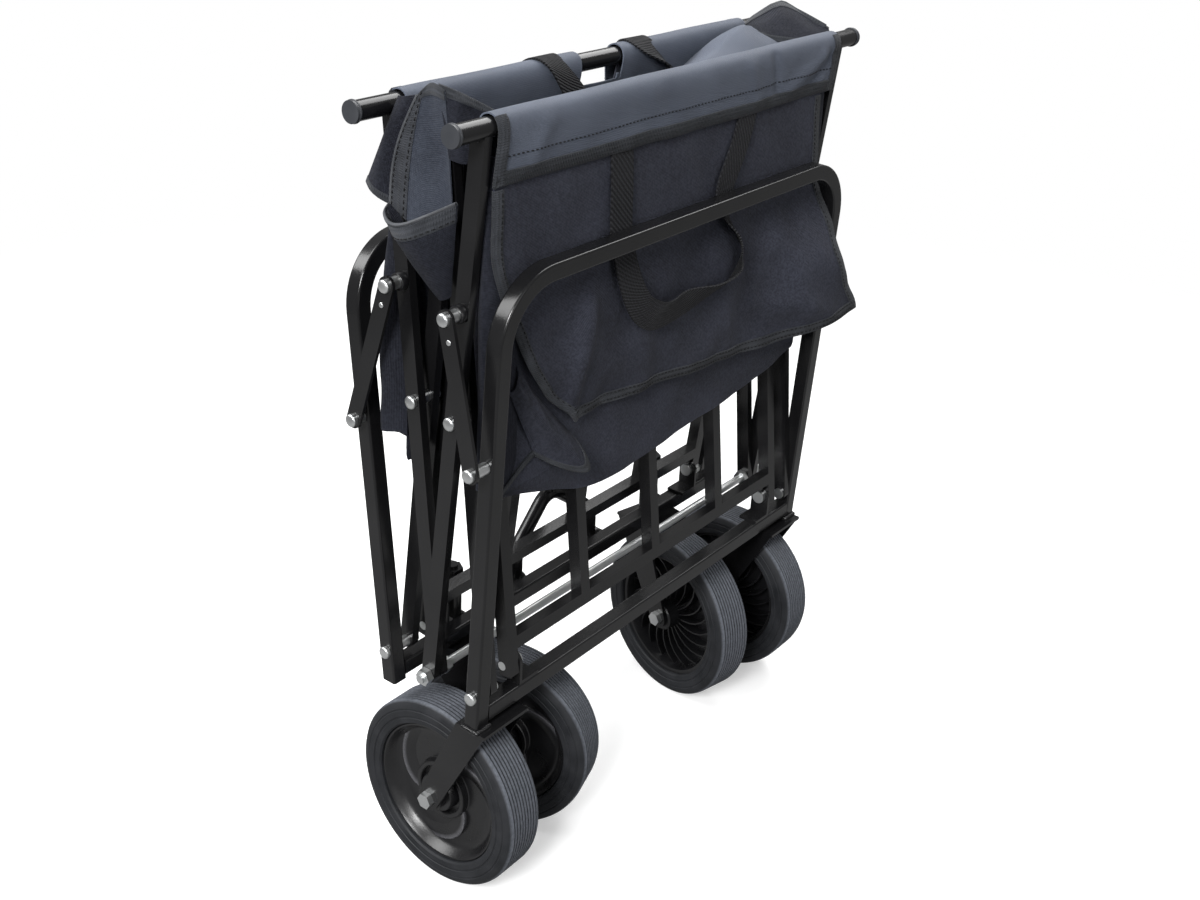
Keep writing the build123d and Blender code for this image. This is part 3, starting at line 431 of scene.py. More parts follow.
section = list(SIDE_WALL)
for groove in range(GROOVES):
    middle = ((GROOVES - 1) / 2 - groove) * GROOVE_PITCH
    section += [(middle + GROOVE_LIP, TYRE_R), (middle + GROOVE_FLOOR, TYRE_R - GROOVE_DEPTH)]
    section += [(middle - GROOVE_FLOOR, TYRE_R - GROOVE_DEPTH), (middle - GROOVE_LIP, TYRE_R)]
section += [(-across, radius) for across, radius in reversed(SIDE_WALL)]
tyre = spun("tyre_pattern", section, 120)
smooth_shade(tyre, 30)
paint_mask(tyre, "tread", on_tread)
tyre.data.materials.append(FINISHES["tyre_rubber"])
print("tyre section", len(section), "points")

# %% [markdown]
# The rim is one plastic moulding. Outside it is a bowl with a double ring round the hub and three
# swept steps, like a pinwheel. Inside it is stiffened by thin curved ribs. One step and one rib are
# shaped from a small grid, and turned copies are joined to the spun body.

# %% Rim
RIM_SECTION = ((16, 67), (17.0, 65.6), (16.8, 64.2), (14.0, 62.2), (9.6, 60.0), (6.8, 56.8), (5.8, 52.5), (5.6, 48),
               (5.6, 29), (6.2, 28.2), (12.2, 27.6), (12.9, 26.8), (12.9, 24.0), (12.2, 23.2), (6.8, 22.6),
               (6.8, 18.8), (16.8, 17.8), (17.8, 17.0), (17.8, 12.8), (24.6, 12.4), (24.6, 4.6), (-24.6, 4.6),
               (-24.6, 13.4), (-23.0, 15.0), (3.2, 15.8), (3.2, 60.6), (-13.0, 62.2), (-15.2, 63.0),
               (-16, 64.8), (-16, 67))
rim = spun("rim_pattern", RIM_SECTION, 96)
print("rim section", len(RIM_SECTION), "points")

# %% Ribs and steps of the rim
RIB_COUNT = 20
RIB_START, RIB_RUN, RIB_SWEEP = 15.2, 46.6, 26
RIB_TOP, RIB_DEPTH, RIB_TAPER = 3.6, 14.5, 4
RIB_T, STEP_T = 1.5, 0.8
STEP_COUNT = 3
STEP_COLUMNS = 16
STEP_BASE = 5.5
STEP_ROWS = ((0.0, 0.0), (0.0, 4.2), (1.6, 4.5), (12, 3.2), (24, 1.6), (36, -0.4))
STEP_START, STEP_RUN, STEP_SWEEP = 27, 31, 66
CREST_ROWS = (1, 2)


def sheet_grid(name, columns, rows, place):
    """A grid whose point at shares (u, v) lies at place(u, v), given in millimetres."""
    piece = primitive(bpy.ops.mesh.primitive_grid_add, name, x_subdivisions=columns, y_subdivisions=rows,
                      size=1)
    for point in piece.data.vertices:
        point.co = Vector(place(point.co.x + 0.5, point.co.y + 0.5)) * MM
    return piece


def thicken(piece, thickness):
    """Give a sheet its thickness with an applied modifier."""
    pick(piece)
    wall = piece.modifiers.new("thickness", "SOLIDIFY")
    wall.thickness = thickness * MM
    wall.offset = 0
    bpy.ops.object.modifier_apply(modifier=wall.name)


def rib_at(u, v):
    """One curved rib, deepest at the hub."""
    radius = RIB_START + RIB_RUN * u
    sweep = math.radians(RIB_SWEEP) * u * u
    depth = RIB_TOP - v * (RIB_DEPTH - RIB_TAPER * u)
    return depth, radius * math.sin(sweep), radius * math.cos(sweep)


def step_at(u, v):
    """One swept step: a sharp edge on one side that slopes away on the other."""
    turned, high = STEP_ROWS[round(v * (len(STEP_ROWS) - 1))]
    radius = STEP_START + STEP_RUN * u
    sweep = math.radians(STEP_SWEEP * u ** 1.3 + turned)
    rise = high * (0.55 + 0.45 * math.sin(math.pi * u))
    return STEP_BASE + rise, radius * math.sin(sweep), radius * math.cos(sweep)


def placed_copy(pattern, place):
    """A copy of a pattern with its own mesh, moved by a matrix."""
    copy = pattern.copy()
    copy.data = pattern.data.copy()
    copy.data.transform(place)
    bpy.context.scene.collection.objects.link(copy)
    return copy


def turned_copies(piece, count):
    """A piece and its copies, evenly turned about the X axis."""
    turns = [Matrix.Rotation(math.tau * number / count, 4, "X") for number in range(1, count)]
    return [piece] + [placed_copy(piece, turn) for turn in turns]


def join(pieces, name):
    """Join pieces into the first one."""
    pick(pieces[0])
    for piece in pieces:
        piece.select_set(True)
    if len(pieces) > 1:
        bpy.ops.object.join()
    pieces[0].name = name
    return pieces[0]


rib = sheet_grid("rib", 6, 1, rib_at)
thicken(rib, RIB_T)
step = sheet_grid("step", STEP_COLUMNS, len(STEP_ROWS) - 1, step_at)
# The crest rows of each step are marked, so that the plastic's finish paints a highlight along them.
paint_mask(step, "edge", lambda point: float(point.index // (STEP_COLUMNS + 1) in CREST_ROWS))
thicken(step, STEP_T)
rim = join([rim] + turned_copies(rib, RIB_COUNT) + turned_copies(step, STEP_COUNT), "rim_pattern")
smooth_shade(rim, 35)
rim.data.materials.append(FINISHES["black_plastic"])
print("rim faces", len(rim.data.polygons))

# %% [markdown]
# Each wheel is a turned copy, set on the axle that the frame gives. The casters stand a little
# turned, as they came to rest. The tread is pressed flat where it would go below the floor.

# %% Four wheels
WHEELS = (
    ("rear_left", "rear_wheel_left", 180),
    ("rear_right", "rear_wheel_right", 0),
    ("caster_left", "caster_wheel_left", 180 + 18),
    ("caster_right", "caster_wheel_right", -12),
)
for name, body, angle in WHEELS:
    low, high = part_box(name + "_tyre")
    axle = Vector(((low.x + high.x) / 2, (low.y + high.y) / 2, high.z - TYRE_R * MM))
    at_axle = Matrix.Translation(axle) @ Matrix.Rotation(math.radians(angle), 4, "Z")
    for pattern, kind, slot in ((tyre, "tyre", "tyre_rubber"), (rim, "rim", "black_plastic")):
        wheel = placed_copy(pattern, at_axle)
        wheel.name = f"{name}_moulded_{kind}"
        for point in wheel.data.vertices:
            point.co.z = max(point.co.z, 0)
        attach(wheel, body)
        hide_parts(f"{name}_{kind}")
for pattern in (tyre, rim):
    bpy.data.objects.remove(pattern)
print("wheels", len(WHEELS))

# %% [markdown]
# The joints are held by rivets with low domed heads. A flat disc would look like a sawn pin, so a
# small dome is spun once and set on every outer rivet head and spare link hole. The lips of the rail
# caps and the plastic bushes behind the links are spun and copied in the same way.

# %% Rivet domes and other small fittings
def dress(piece, body, slot="charcoal_fabric", material=None):
    """Give a piece the body that carries it and its finish, which is the named slot's own by default."""
    piece.data.materials.clear()
    piece.data.materials.append(material or FINISHES[slot])
    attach(piece, body)
    return piece


DOME_SECTION = ((0, 0), (0, 5.4), (0.5, 5.3), (1.1, 4.5), (1.5, 3.1), (1.75, 1.6), (1.8, 0))
RING_SECTION = ((0, 8.1), (0, 8.8), (0.5, 9.2), (1.3, 9.2), (1.8, 8.8), (1.8, 8.1))
BUSH_SECTION = ((0, 5.3), (0, 7.0), (0.8, 7.4), (5.2, 7.4), (6.2, 6.8), (6.2, 5.3))
dome = spun("dome_pattern", DOME_SECTION, 24)
smooth_shade(dome, 50)
ring = spun("ring_pattern", RING_SECTION, 40)
smooth_shade(ring, 40)
bush = spun("bush_pattern", BUSH_SECTION, 32)
smooth_shade(bush, 40)
DOMES = {
    "rear_cross_bars": ((258.0, -24.98, 459.7), (258.0, -49.96, 218)),
    "front_cross_bars": ((249.0, 24.98, 459.7), (257.0, 49.96, 218)),
    "rear_link_pair": ((275.7, -34.65, 553.2), (275.7, -61.05, 434)),
    "front_link_pair": ((266.7, 35.28, 559.4), (266.7, 74.6, 434)),
}
PIN_SIZE = 0.42
PINS = {"rear_link_pair": ((272.9, -38.5, 535.7),), "front_link_pair": ((263.9, 40.66, 542.2),)}
CAP_RINGS = {"rear_long_bars": ((280.2, -49.24, 694.46),), "front_long_bars": ((280.2, 49.24, 694.46),)}
BUSHES = {"rear_long_bars": ((255.2, -34.65, 553.2),), "front_long_bars": ((246.2, 35.28, 559.4),)}
FITTINGS = (
    (dome, DOMES, 1, "_domes", "zinc"),
    (dome, PINS, PIN_SIZE, "_pins", "zinc"),
    # The cap lips take the lighter cap plastic, which is a painted reflection.
    (ring, CAP_RINGS, 1, "_cap_rings", "black_plastic", cap_plastic_painted_reflection),
    (bush, BUSHES, 1, "_bushes", "black_plastic"),
)
for pattern, places, size, kind, *look in FITTINGS:
    for body, heads in places.items():
        copies = []
        for across, along, height in heads:
            for side, turn in ((1, 0), (-1, math.pi)):
                there = Matrix.Translation(Vector((side * across, along, height)) * MM)
                facing = Matrix.Rotation(turn, 4, "Z") @ Matrix.Scale(size, 4)
                copies.append(placed_copy(pattern, there @ facing))
        dress(join(copies, body + kind), body, *look)
for pattern in (dome, ring, bush):
    bpy.data.objects.remove(pattern)
print("kinds of fitting", len(FITTINGS))

# %% [markdown]
# The cloth pieces are sheets. Each starts as a flat grid that is laid point by point where the cloth
# hangs, with soft folds added by smooth noise, and then gets its thickness. Its UV map holds the flat
# cloth's own metres, so the weave has the same thread size everywhere. Depth is counted outwards from
# the plane of the rail, because front and rear walls are alike.

# %% Soft shapes
def vectors(*points):
    """Points as vectors, which can be added and scaled."""
    return [Vector(point) for point in points]


def ramp(value, start, end):
    """0 before start, 1 after end and a soft change between them."""
    share = min(max((value - start) / (end - start), 0), 1)
    return share * share * (3 - 2 * share)


def ripple(x, z, size, seed):
    """Smooth noise from about -1 to 1, with folds of the given size in millimetres."""
    return noise.noise(Vector((x / size, z / size, seed)))


def through(points, share):
    """A smooth line through points, which are vectors or numbers."""
    last = len(points) - 1
    piece = min(int(share * last), last - 1)
    t = share * last - piece
    a, b = points[max(piece - 1, 0)], points[piece]
    c, d = points[piece + 1], points[min(piece + 2, last)]
    return (b * 2 + (c - a) * t + (a * 2 - b * 5 + c * 4 - d) * t * t + (b * 3 - a - c * 3 + d) * t ** 3) * 0.5


def ridge(x, z, line, width):
    """1 on a straight crease between two points of (x, z) and soft beside it."""
    start, end = Vector(line[:2]), Vector(line[2:])
    run = end - start
    here = Vector((x, z)) - start
    share = min(max(here.dot(run) / run.length_squared, 0), 1)
    return math.exp(-((here - run * share).length / width) ** 2)


print("a ramp's quarter is", ramp(0.25, 0, 1))

# %% Sheets of cloth
RAIL_Y = 49.24
RAIL_Z = 694.46
CLOTH_T = 1.2


def cloth(name, columns, rows, size, place, thickness=CLOTH_T, cut=None):
    """A sheet of the flat size in millimetres whose UV map is in metres.
    Cut says which faces, by their middle's shares (u, v), are cut out of it."""
    piece = sheet_grid(name, columns, rows, lambda u, v: (u, v, 0))
    sewn = piece.data.uv_layers.active.data
    for loop in piece.data.loops:
        flat = piece.data.vertices[loop.vertex_index].co / MM
        sewn[loop.index].uv = (flat.x * size[0] * MM, flat.y * size[1] * MM)
    if cut:
        bpy.ops.object.mode_set(mode="EDIT")
        bpy.ops.mesh.select_mode(type="FACE")
        bpy.ops.mesh.select_all(action="DESELECT")
        bpy.ops.object.mode_set(mode="OBJECT")
        for face in piece.data.polygons:
            face.select = cut(face.center.x / MM, face.center.y / MM)
        bpy.ops.object.mode_set(mode="EDIT")
        bpy.ops.mesh.delete(type="FACE")
        bpy.ops.object.mode_set(mode="OBJECT")
    for point in piece.data.vertices:
        point.co = Vector(place(point.co.x / MM, point.co.y / MM)) * MM
    thicken(piece, thickness)
    smooth_shade(piece, 60)
    return piece


def sheet(name, grid, size, place, body, material=None, cut=None):
    """A cloth piece that is dressed."""
    piece = dress(cloth(name, *grid, size, place, cut=cut), body, material=material)
    return piece


def mirrored(shape, sign):
    """A shape as it is, or its mirror image on the other side where sign is -1."""
    return lambda u, v: Vector(shape(u, v)) * Vector((sign, 1, 1))


def out_from(way, depth):
    """The y of a depth counted outwards from the rail's plane; way is -1 at the rear, 1 at the front."""
    return way * (RAIL_Y + depth)


def crosswise(shape, v, start=0, end=1):
    """The line across a shape at the share v, between two shares u."""
    return lambda t: shape(start + (end - start) * t, v)


def lengthwise(shape, u, start=0, end=1):
    """The line down a shape at the share u, between two shares v."""
    return lambda t: shape(u, start + (end - start) * t)


print("cloth", CLOTH_T, "mm thick")

# %% [markdown]
# Cut edges are bound with folded tape, and seams are sewn with rows of thread. The tape is a strip
# that goes over the edge and back on the other side. A stitch is a small flattened bead, shaped once
# and copied along a line, because real thread stands proud of the cloth and catches the light.

# %% Tape
TAPE_T = 0.7
TAPE_LIFT, TAPE_PAST = 1.1, 0.9
TAPE_STEP = 6
WIDE, MEDIUM, SLIM = 12, 10, 7


def edge_tape(rim_line, inner_line, lift, length, width):
    """Tape folded over a cloth edge. The lines depend on a share along it, and so may the outward lift."""
    def tape_at(u, v):
        rim_point, inner = Vector(rim_line(u)), Vector(inner_line(u))
        outward = Vector(lift(u) if callable(lift) else lift) * TAPE_LIFT
        past = (rim_point - inner).normalized() * TAPE_PAST
        rows = (inner + outward, rim_point + outward, rim_point + past, rim_point - outward, inner - outward)
        return rows[round(v * (len(rows) - 1))]

    return cloth("tape", max(int(length / TAPE_STEP), 8), 4, (length, 2 * width), tape_at, TAPE_T)


print("tapes", WIDE, MEDIUM, SLIM, "mm wide")

# %% Stitches
STITCH = (1.6, 0.62, 0.45)
STITCH_PITCH = 4.8
STITCH_LIFT, HIGH_LIFT = 1.0, 1.8
A_LITTLE = 0.002


def scatter(name, pattern, places):
    """One mesh made of copies of a pattern's points and faces at the given placements."""
    points, faces = [], []
    for placed in places:
        first = len(points)
        points += [placed @ point.co for point in pattern.data.vertices]
        faces += [[first + corner for corner in face.vertices] for face in pattern.data.polygons]
    mesh = bpy.data.meshes.new(name)
    mesh.from_pydata(points, [], faces)
    piece = bpy.data.objects.new(name, mesh)
    bpy.context.scene.collection.objects.link(piece)
    smooth_shade(piece, 80)
    return piece


stitch = primitive(bpy.ops.mesh.primitive_uv_sphere_add, "stitch_pattern", segments=6, ring_count=4, radius=MM)
for point in stitch.data.vertices:
    point.co = Vector((point.co.z * STITCH[0], point.co.x * STITCH[1], point.co.y * STITCH[2]))
bpy.ops.object.mode_set(mode="EDIT")
bpy.ops.mesh.select_all(action="SELECT")
bpy.ops.mesh.normals_make_consistent(inside=False)
bpy.ops.object.mode_set(mode="OBJECT")


def stitches(line, lift, length, raised=STITCH_LIFT):
    """A row of stitches along a line of points, raised on the side that lift points to."""
    count = int(length / STITCH_PITCH)
    places = []
    for number in range(count):
        share = (number + 0.5) / count
        here, ahead = Vector(line(share)), Vector(line(min(share + A_LITTLE, 1)))
        along = (ahead - here).normalized()
        outward = Vector(lift(share) if callable(lift) else lift).normalized()
        across = outward.cross(along).normalized()
        axes = Matrix((along, across, along.cross(across))).transposed().to_4x4()
        places.append(Matrix.Translation((here + outward * raised) * MM) @ axes)
    return scatter("row", stitch, places)


def trim(pieces, name, body, material):
    """Tapes, stitches or piping joined into one piece."""
    return dress(join(pieces, name), body, "black_webbing", material)


print("stitch pitch", STITCH_PITCH, "mm")

# %% [markdown]
# Each end wall hangs from a sleeve that wraps the rail. The sleeve is coated cloth with a hem below,
# and the wall goes on down behind it. The lowest part of the wall sags in a belly when the wagon is
# folded and is drawn up when it opens, so the belly is a piece of its own.

# %% Shape of the end walls
WALL_HALF = 226
WALL_TOP = 688
WALL_FOOT = 397
HEM_Z = 651
BELLY_FEET = [392.0, 378, 358, 356, 360, 364, 368, 376, 388]
SLEEVE_SPANS = {"rear": (-244, 243), "front": (-235, 234)}
SLEEVE_PATH = vectors((6.4, HEM_Z), (8.0, 666), (9.6, 682), (10.0, 694), (7.2, 701.6), (0, 704.6), (-7.2, 701.6),
                      (-9.8, 693), (-7.6, 678), (-4.6, 664), (-2.4, 654))
SLEEVE_CREASES = ((126, 702, 138, 664, 6, -2.6), (158, 662, 214, 686, 7, 2.8), (190, 656, 230, 684, 6, -2.6),
                  (88, 694, 104, 660, 9, 1.8), (-60, 690, -40, 660, 10, 1.2), (-190, 690, -205, 662, 9, 1.6))
SLEEVE_FLAT = 118
SLEEVE_FRONT = 0.42
SLEEVE_ROW = 0.14
SLEEVE_TOP = 0.45
BELLY_FLAT, BELLY_MEAN = 40, 27
SLOT, SLOT_V = (-24, 33), (0.10, 0.80)
SLOT_DROP = 22


def wall_depth(x, z):
    """How far the hanging wall bulges outwards."""
    hang = ramp(z, WALL_TOP, 560)
    low = ramp(z, 470, 420) * (2 + 2.6 * ripple(x, z * 0.7, 52, 7.3))
    return -0.6 + hang * (1.1 * ripple(x, z * 0.5, 60, 3.1) + 0.7 * ripple(x, z, 24, 8.7)) + max(low, 0)


def sleeve_point(end, way, u, v):
    """The sleeve, from its hem outside over the rail to its inner edge."""
    left, right_end = SLEEVE_SPANS[end]
    x = left + (right_end - left) * u
    path = through(SLEEVE_PATH, v)
    loose = ramp(abs(v - SLEEVE_TOP), 0.12, 0.45)
    crease = 0
    if v < SLEEVE_TOP:
        crease = sum(high * ridge(x, path.y, line, width) for *line, width, high in SLEEVE_CREASES)
    waves = 2.2 * ripple(x, path.y * 0.7, 48, 1.7) + 0.8 * ripple(x, path.y, 19, 4.2)
    depth = path.x + loose * waves + crease * ramp(v, SLEEVE_TOP, 0.3)
    return x, out_from(way, depth), path.y + (1 - v) * 1.6 * ripple(x, 0, 80, 5.5)


def in_slot(u, v):
    """The cut-out of the front sleeve, with a ragged lower edge."""
    left, right_end = SLEEVE_SPANS["front"]
    x = left + (right_end - left) * u
    ragged = 0.03 * ripple(x, 0, 7, 2.4)
    return SLOT[0] < x < SLOT[1] and SLOT_V[0] < v < SLOT_V[1] + ragged


print("walls", 2 * WALL_HALF, "mm wide, cut-out", SLOT[1] - SLOT[0])

# %% End walls
ENDS = (("rear", -1), ("front", 1))
for end, way in ENDS:
    def wall_at(u, v):
        x = WALL_HALF * (2 * u - 1)
        top = WALL_TOP - (SLOT_DROP if end == "front" and SLOT[0] < x < SLOT[1] else 0)
        z = top + (WALL_FOOT - top) * v
        return x, out_from(way, wall_depth(x, z)), z

    def belly_at(u, v):
        x = WALL_HALF * (2 * u - 1)
        foot = through(BELLY_FEET, u)
        z = WALL_FOOT + (foot - WALL_FOOT) * v
        return x, out_from(way, wall_depth(x, z) - 1.5 * v * v), z

    def sleeve_at(u, v):
        return sleeve_point(end, way, u, v)

    def down_sleeve(u):
        return lengthwise(sleeve_at, u, 0, SLEEVE_FRONT)

    def off_rail(t):
        place = Vector(down_sleeve(0.5)(t))
        away = outside if place.z < RAIL_Z else (0, place.y - way * RAIL_Y, place.z - RAIL_Z)
        return Vector(away).normalized()

    outside = (0, way, 0)
    body = end + "_end_wall"
    wall = sheet(end + "_wall_cloth", (60, 40), (2 * WALL_HALF, WALL_TOP - WALL_FOOT), wall_at, body)
    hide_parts(end + "_wall")
    belly = sheet(end + "_wall_belly", (60, 6), (2 * WALL_HALF, BELLY_FLAT), belly_at, body)
    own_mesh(belly)
    left, right_end = SLEEVE_SPANS[end]
    span = right_end - left
    sheet(end + "_sleeve_cloth", (150, 32), (span, SLEEVE_FLAT), sleeve_at, body,
          coated_cloth, cut=in_slot if end == "front" else None)
    tapes = [edge_tape(crosswise(sleeve_at, 0), crosswise(sleeve_at, 0.075), outside, span, WIDE)]
    for edge, inner in ((0, 0.021), (1, 0.979)):
        tapes.append(edge_tape(down_sleeve(edge), down_sleeve(inner), off_rail, 58, MEDIUM))
    trim(tapes, end + "_sleeve_tape", body, tape_cloth)
    runs = [(0, 1)] if end == "rear" else [(0, (SLOT[0] - left) / span), ((SLOT[1] - left) / span, 1)]
    rows = [stitches(crosswise(sleeve_at, SLEEVE_ROW, *run), outside, span * (run[1] - run[0])) for run in runs]
    rows += [stitches(down_sleeve(edge), off_rail, 56) for edge in (0.017, 0.983)]
    trim(rows, end + "_sleeve_stitches", body, thread)
print("end walls hang from z", RAIL_Z)

# %% [markdown]
# The flap is a loose cover sewn under the rear sleeve. It hangs behind the hoop's top bar, and its
# right-hand corner has been thrown out in front of the upright. Long soft creases run down it.

# %% Shape of the flap
FLAP_TOP = 657
FLAP_THROW = 34
FLAP_LEFT = [-243.0, -243, -242, -231, -217, -202, -179, -148]
FLAP_RIGHT = [224.0, 226, 229, 233, 235, 233, 250, 272]
FLAP_FEET = [437.0, 433, 429, 423, 419, 423, 430]
CREASES = ((-116, 600, -152, 440, 9, 0.9), (-60, 540, -46, 440, 15, 0.6), (58, 540, 84, 430, 16, 0.6),
           (150, 560, 190, 450, 16, 0.7), (-12, 650, 18, 600, 14, 0.7), (120, 470, 215, 440, 12, 0.6))


def flap_at(u, v):
    left = through(FLAP_LEFT, v)
    x = left + (through(FLAP_RIGHT, v) - left) * u
    z = FLAP_TOP + (through(FLAP_FEET, u) - FLAP_TOP) * v
    thrown = FLAP_THROW * ramp(x, 105, 236) * ramp(z, 575, 475)
    free = ramp(z, 568, 515)
    folds = ripple(x, z, 52, 4.9) + 0.35 * ripple(x, z, 24, 2.2)
    for *line, width, height in CREASES:
        folds += height * ridge(x, z, line, width)
    depth = 4.4 + 4.6 * free + folds * (1.1 * ramp(z, FLAP_TOP, 630) + 5.4 * free)
    return x, out_from(-1, max(depth, 2.4) + thrown), z


print("creases in the flap", len(CREASES))

# %% Rear flap
FLAP_SIZE = (470, 240)
FLAP_TAPE_U, FLAP_TAPE_V = 0.022, 0.042
FLAP_TAPE_TOP = 0.04
TO_REAR = (0, -1, 0)
flap = sheet("rear_flap_cloth", (110, 56), FLAP_SIZE, flap_at, "rear_end_wall")
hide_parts("rear_flap")
tapes = [edge_tape(lengthwise(flap_at, u, FLAP_TAPE_TOP), lengthwise(flap_at, inner, FLAP_TAPE_TOP), TO_REAR,
                   length, MEDIUM) for u, inner, length in ((0, FLAP_TAPE_U, 250), (1, 1 - FLAP_TAPE_U, 260))]
tapes.append(edge_tape(crosswise(flap_at, 1), crosswise(flap_at, 1 - FLAP_TAPE_V), TO_REAR, 450, MEDIUM))
trim(tapes, "rear_flap_tape", "rear_end_wall", tape_cloth)
rows = [stitches(crosswise(flap_at, 1 - inset * FLAP_TAPE_V, 0.02, 0.98), TO_REAR, 440, HIGH_LIFT)
        for inset in (0.25, 0.85)]
rows += [stitches(lengthwise(flap_at, u, 0.05, 0.97), TO_REAR, 240, HIGH_LIFT)
         for u in (0.8 * FLAP_TAPE_U, 1 - 0.8 * FLAP_TAPE_U)]
trim(rows, "rear_flap_stitches", "rear_end_wall", thread)
print("flap", FLAP_SIZE, "mm")

# %% [markdown]
# The webbing is a flat strap 28 mm wide. It is laid along a smooth line of stations, each with the
# direction of the strap's width, so that it can turn on edge as the real loops do. The rear loop
# hangs outside; the front loop has been thrown over its rail into the tub.

# %% Webbing loops
STRAP_WIDTH = 28
STRAP_T = 1.6


def strap(name, stations, length):
    """A strap through stations of (place, direction of its width)."""
    line, widths = (vectors(*column) for column in zip(*stations))

    def strap_at(u, v):
        return through(line, u) + through(widths, u).normalized() * (v - 0.5) * STRAP_WIDTH

    return cloth(name, 90, 4, (length, STRAP_WIDTH), strap_at, STRAP_T)


REAR_LOOP = (
    ((-92, -55.2, 662), (1, 0, 0)), ((-91, -57.0, 620), (1, 0, 0)),
    ((-90, -58.2, 580), (1, 0, 0)), ((-83, -64.5, 542), (0.97, 0, 0.2)),
    ((-71, -67.5, 518), (0.9, -0.1, 0.4)), ((-52, -69.0, 504), (0.45, -0.3, 0.85)),
    ((-34, -69.5, 501), (0.12, -0.35, 0.95)), ((-8, -68.5, 503), (0.05, -0.3, 1)),
    ((36, -67.0, 501), (-0.05, -0.7, 0.75)), ((72, -66.0, 506), (-0.3, -0.8, 0.6)),
    ((88, -65.5, 523), (-0.8, -0.5, 0.2)), ((80, -64.5, 543), (-0.75, -0.6, 0.2)),
    ((62, -60.0, 566), (-0.8, -0.3, 0.25)), ((60, -58.2, 588), (-0.9, -0.05, 0.35)),
    ((82, -57.0, 626), (-0.95, 0, 0.35)), ((97, -55.2, 662), (-1, 0, 0.1)),
)
FRONT_LOOP = (
    ((-74, 56.6, 640), (1, 0, 0)), ((-74, 60.4, 676), (1, 0, 0)),
    ((-72, 60.2, 697), (1, 0, 0)), ((-66, 49.2, 706.6), (1, 0, 0)),
    ((-58, 37.4, 697), (1, 0.1, -0.1)), ((-34, 34.0, 668), (0.95, 0.1, 0.3)),
    ((0, 30.0, 630), (0.5, 0.2, 0.8)), ((50, 29.0, 618), (0, 0.2, 1)),
    ((98, 30.0, 640), (-0.5, 0.4, 0.7)), ((100, 34.0, 674), (-0.6, -0.7, 0.2)),
    ((72, 38.0, 697), (-0.9, -0.3, -0.1)), ((60, 49.2, 706.6), (-1, 0, 0)),
    ((62, 60.2, 697), (-1, 0, 0)), ((64, 60.4, 676), (-1, 0, 0)),
    ((64, 56.6, 640), (-1, 0, 0)),
)
rear_loop = strap("rear_webbing_loop", REAR_LOOP, 470)
dress(rear_loop, "rear_end_wall", "black_webbing")
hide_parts("rear_strap")
front_loop = strap("front_webbing_loop", FRONT_LOOP, 420)
dress(front_loop, "front_end_wall", "black_webbing")
print("webbing", STRAP_WIDTH, "mm wide")

# %% [markdown]
# The sides of the tub are drawn together when the wagon is folded and pulled flat when it opens.
# Each half follows the middle joint at one edge and the end wall's sewn edge at the other, and is
# bent smoothly between them. The floor does the same: folded, it stands up between the walls like a
# steep roof, and its slope follows a soft curve.

# %% Sides and floor of the tub
SIDE_X = 214
FOOT_X = 200.5
FOOT_TUCK = 70
SIDE_HALF = 47
SIDE_SPAN = 354
SIDE_TOP = 684
SIDE_FOOT = 395
PLEATS = 2.5
PLEAT_DEPTH = 6
BASE_HALF = 198
BASE_EDGE_Y = 45.9
BASE_TOP = 684.1
BASE_DROP = 285.37
BASE_SIZE = (2 * BASE_HALF, 290)
SIDE_STANDS_FOR = {"rear": ("side_panels", "rear_side_binding"), "front": ("front_side_binding",)}
BASE_STANDS_FOR = {"rear": ("tub_base", "rear_base_hem"), "front": ("front_base_hem",)}
for end, way in ENDS:
    halves = []
    for side in (-1, 1):
        def side_at(u, v):
            z = SIDE_FOOT + (SIDE_TOP - SIDE_FOOT) * v
            pleat = PLEAT_DEPTH * (1 + math.sin(math.tau * PLEATS * u)) * math.sin(math.pi * u)
            slack = pleat - 2 * ripple(u * 90, z, 60, 4.4)
            tucked = ramp(z, SIDE_FOOT + FOOT_TUCK, SIDE_FOOT)
            x = SIDE_X - slack + (FOOT_X - SIDE_X + slack) * tucked
            return side * x, way * SIDE_HALF * u, z

        halves.append(cloth("side_half", 40, 18, (SIDE_SPAN, SIDE_TOP - SIDE_FOOT), side_at))
    panel = dress(join(halves, end + "_side_cloth"), "tub_sides")
    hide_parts(*SIDE_STANDS_FOR[end])
    panel.parent = None
    middle = 0.5 * (SIDE_TOP + SIDE_FOOT)
    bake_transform(panel)

    def base_at(u, v):
        return BASE_HALF * (2 * u - 1), way * BASE_EDGE_Y * v, BASE_TOP - BASE_DROP * ramp(v, 0, 1)

    base = sheet(end + "_base_cloth", (24, 40), BASE_SIZE, base_at, "tub_floor")
    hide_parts(*BASE_STANDS_FOR[end])
    base.parent = None
    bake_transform(base)
print("side halves open from", SIDE_HALF, "to", SIDE_SPAN, "mm")

# %% [markdown]
# On each side a pouch hangs between the long bars. It is a lofted shell: a rim that bulges outwards
# with a hem and grey piping, a front that tapers to a soft tip, and a coated back that rises between
# the rails. A folded gusset beside it wraps the long bar. The right one stands higher, because its
# back is pushed up out of the tub.

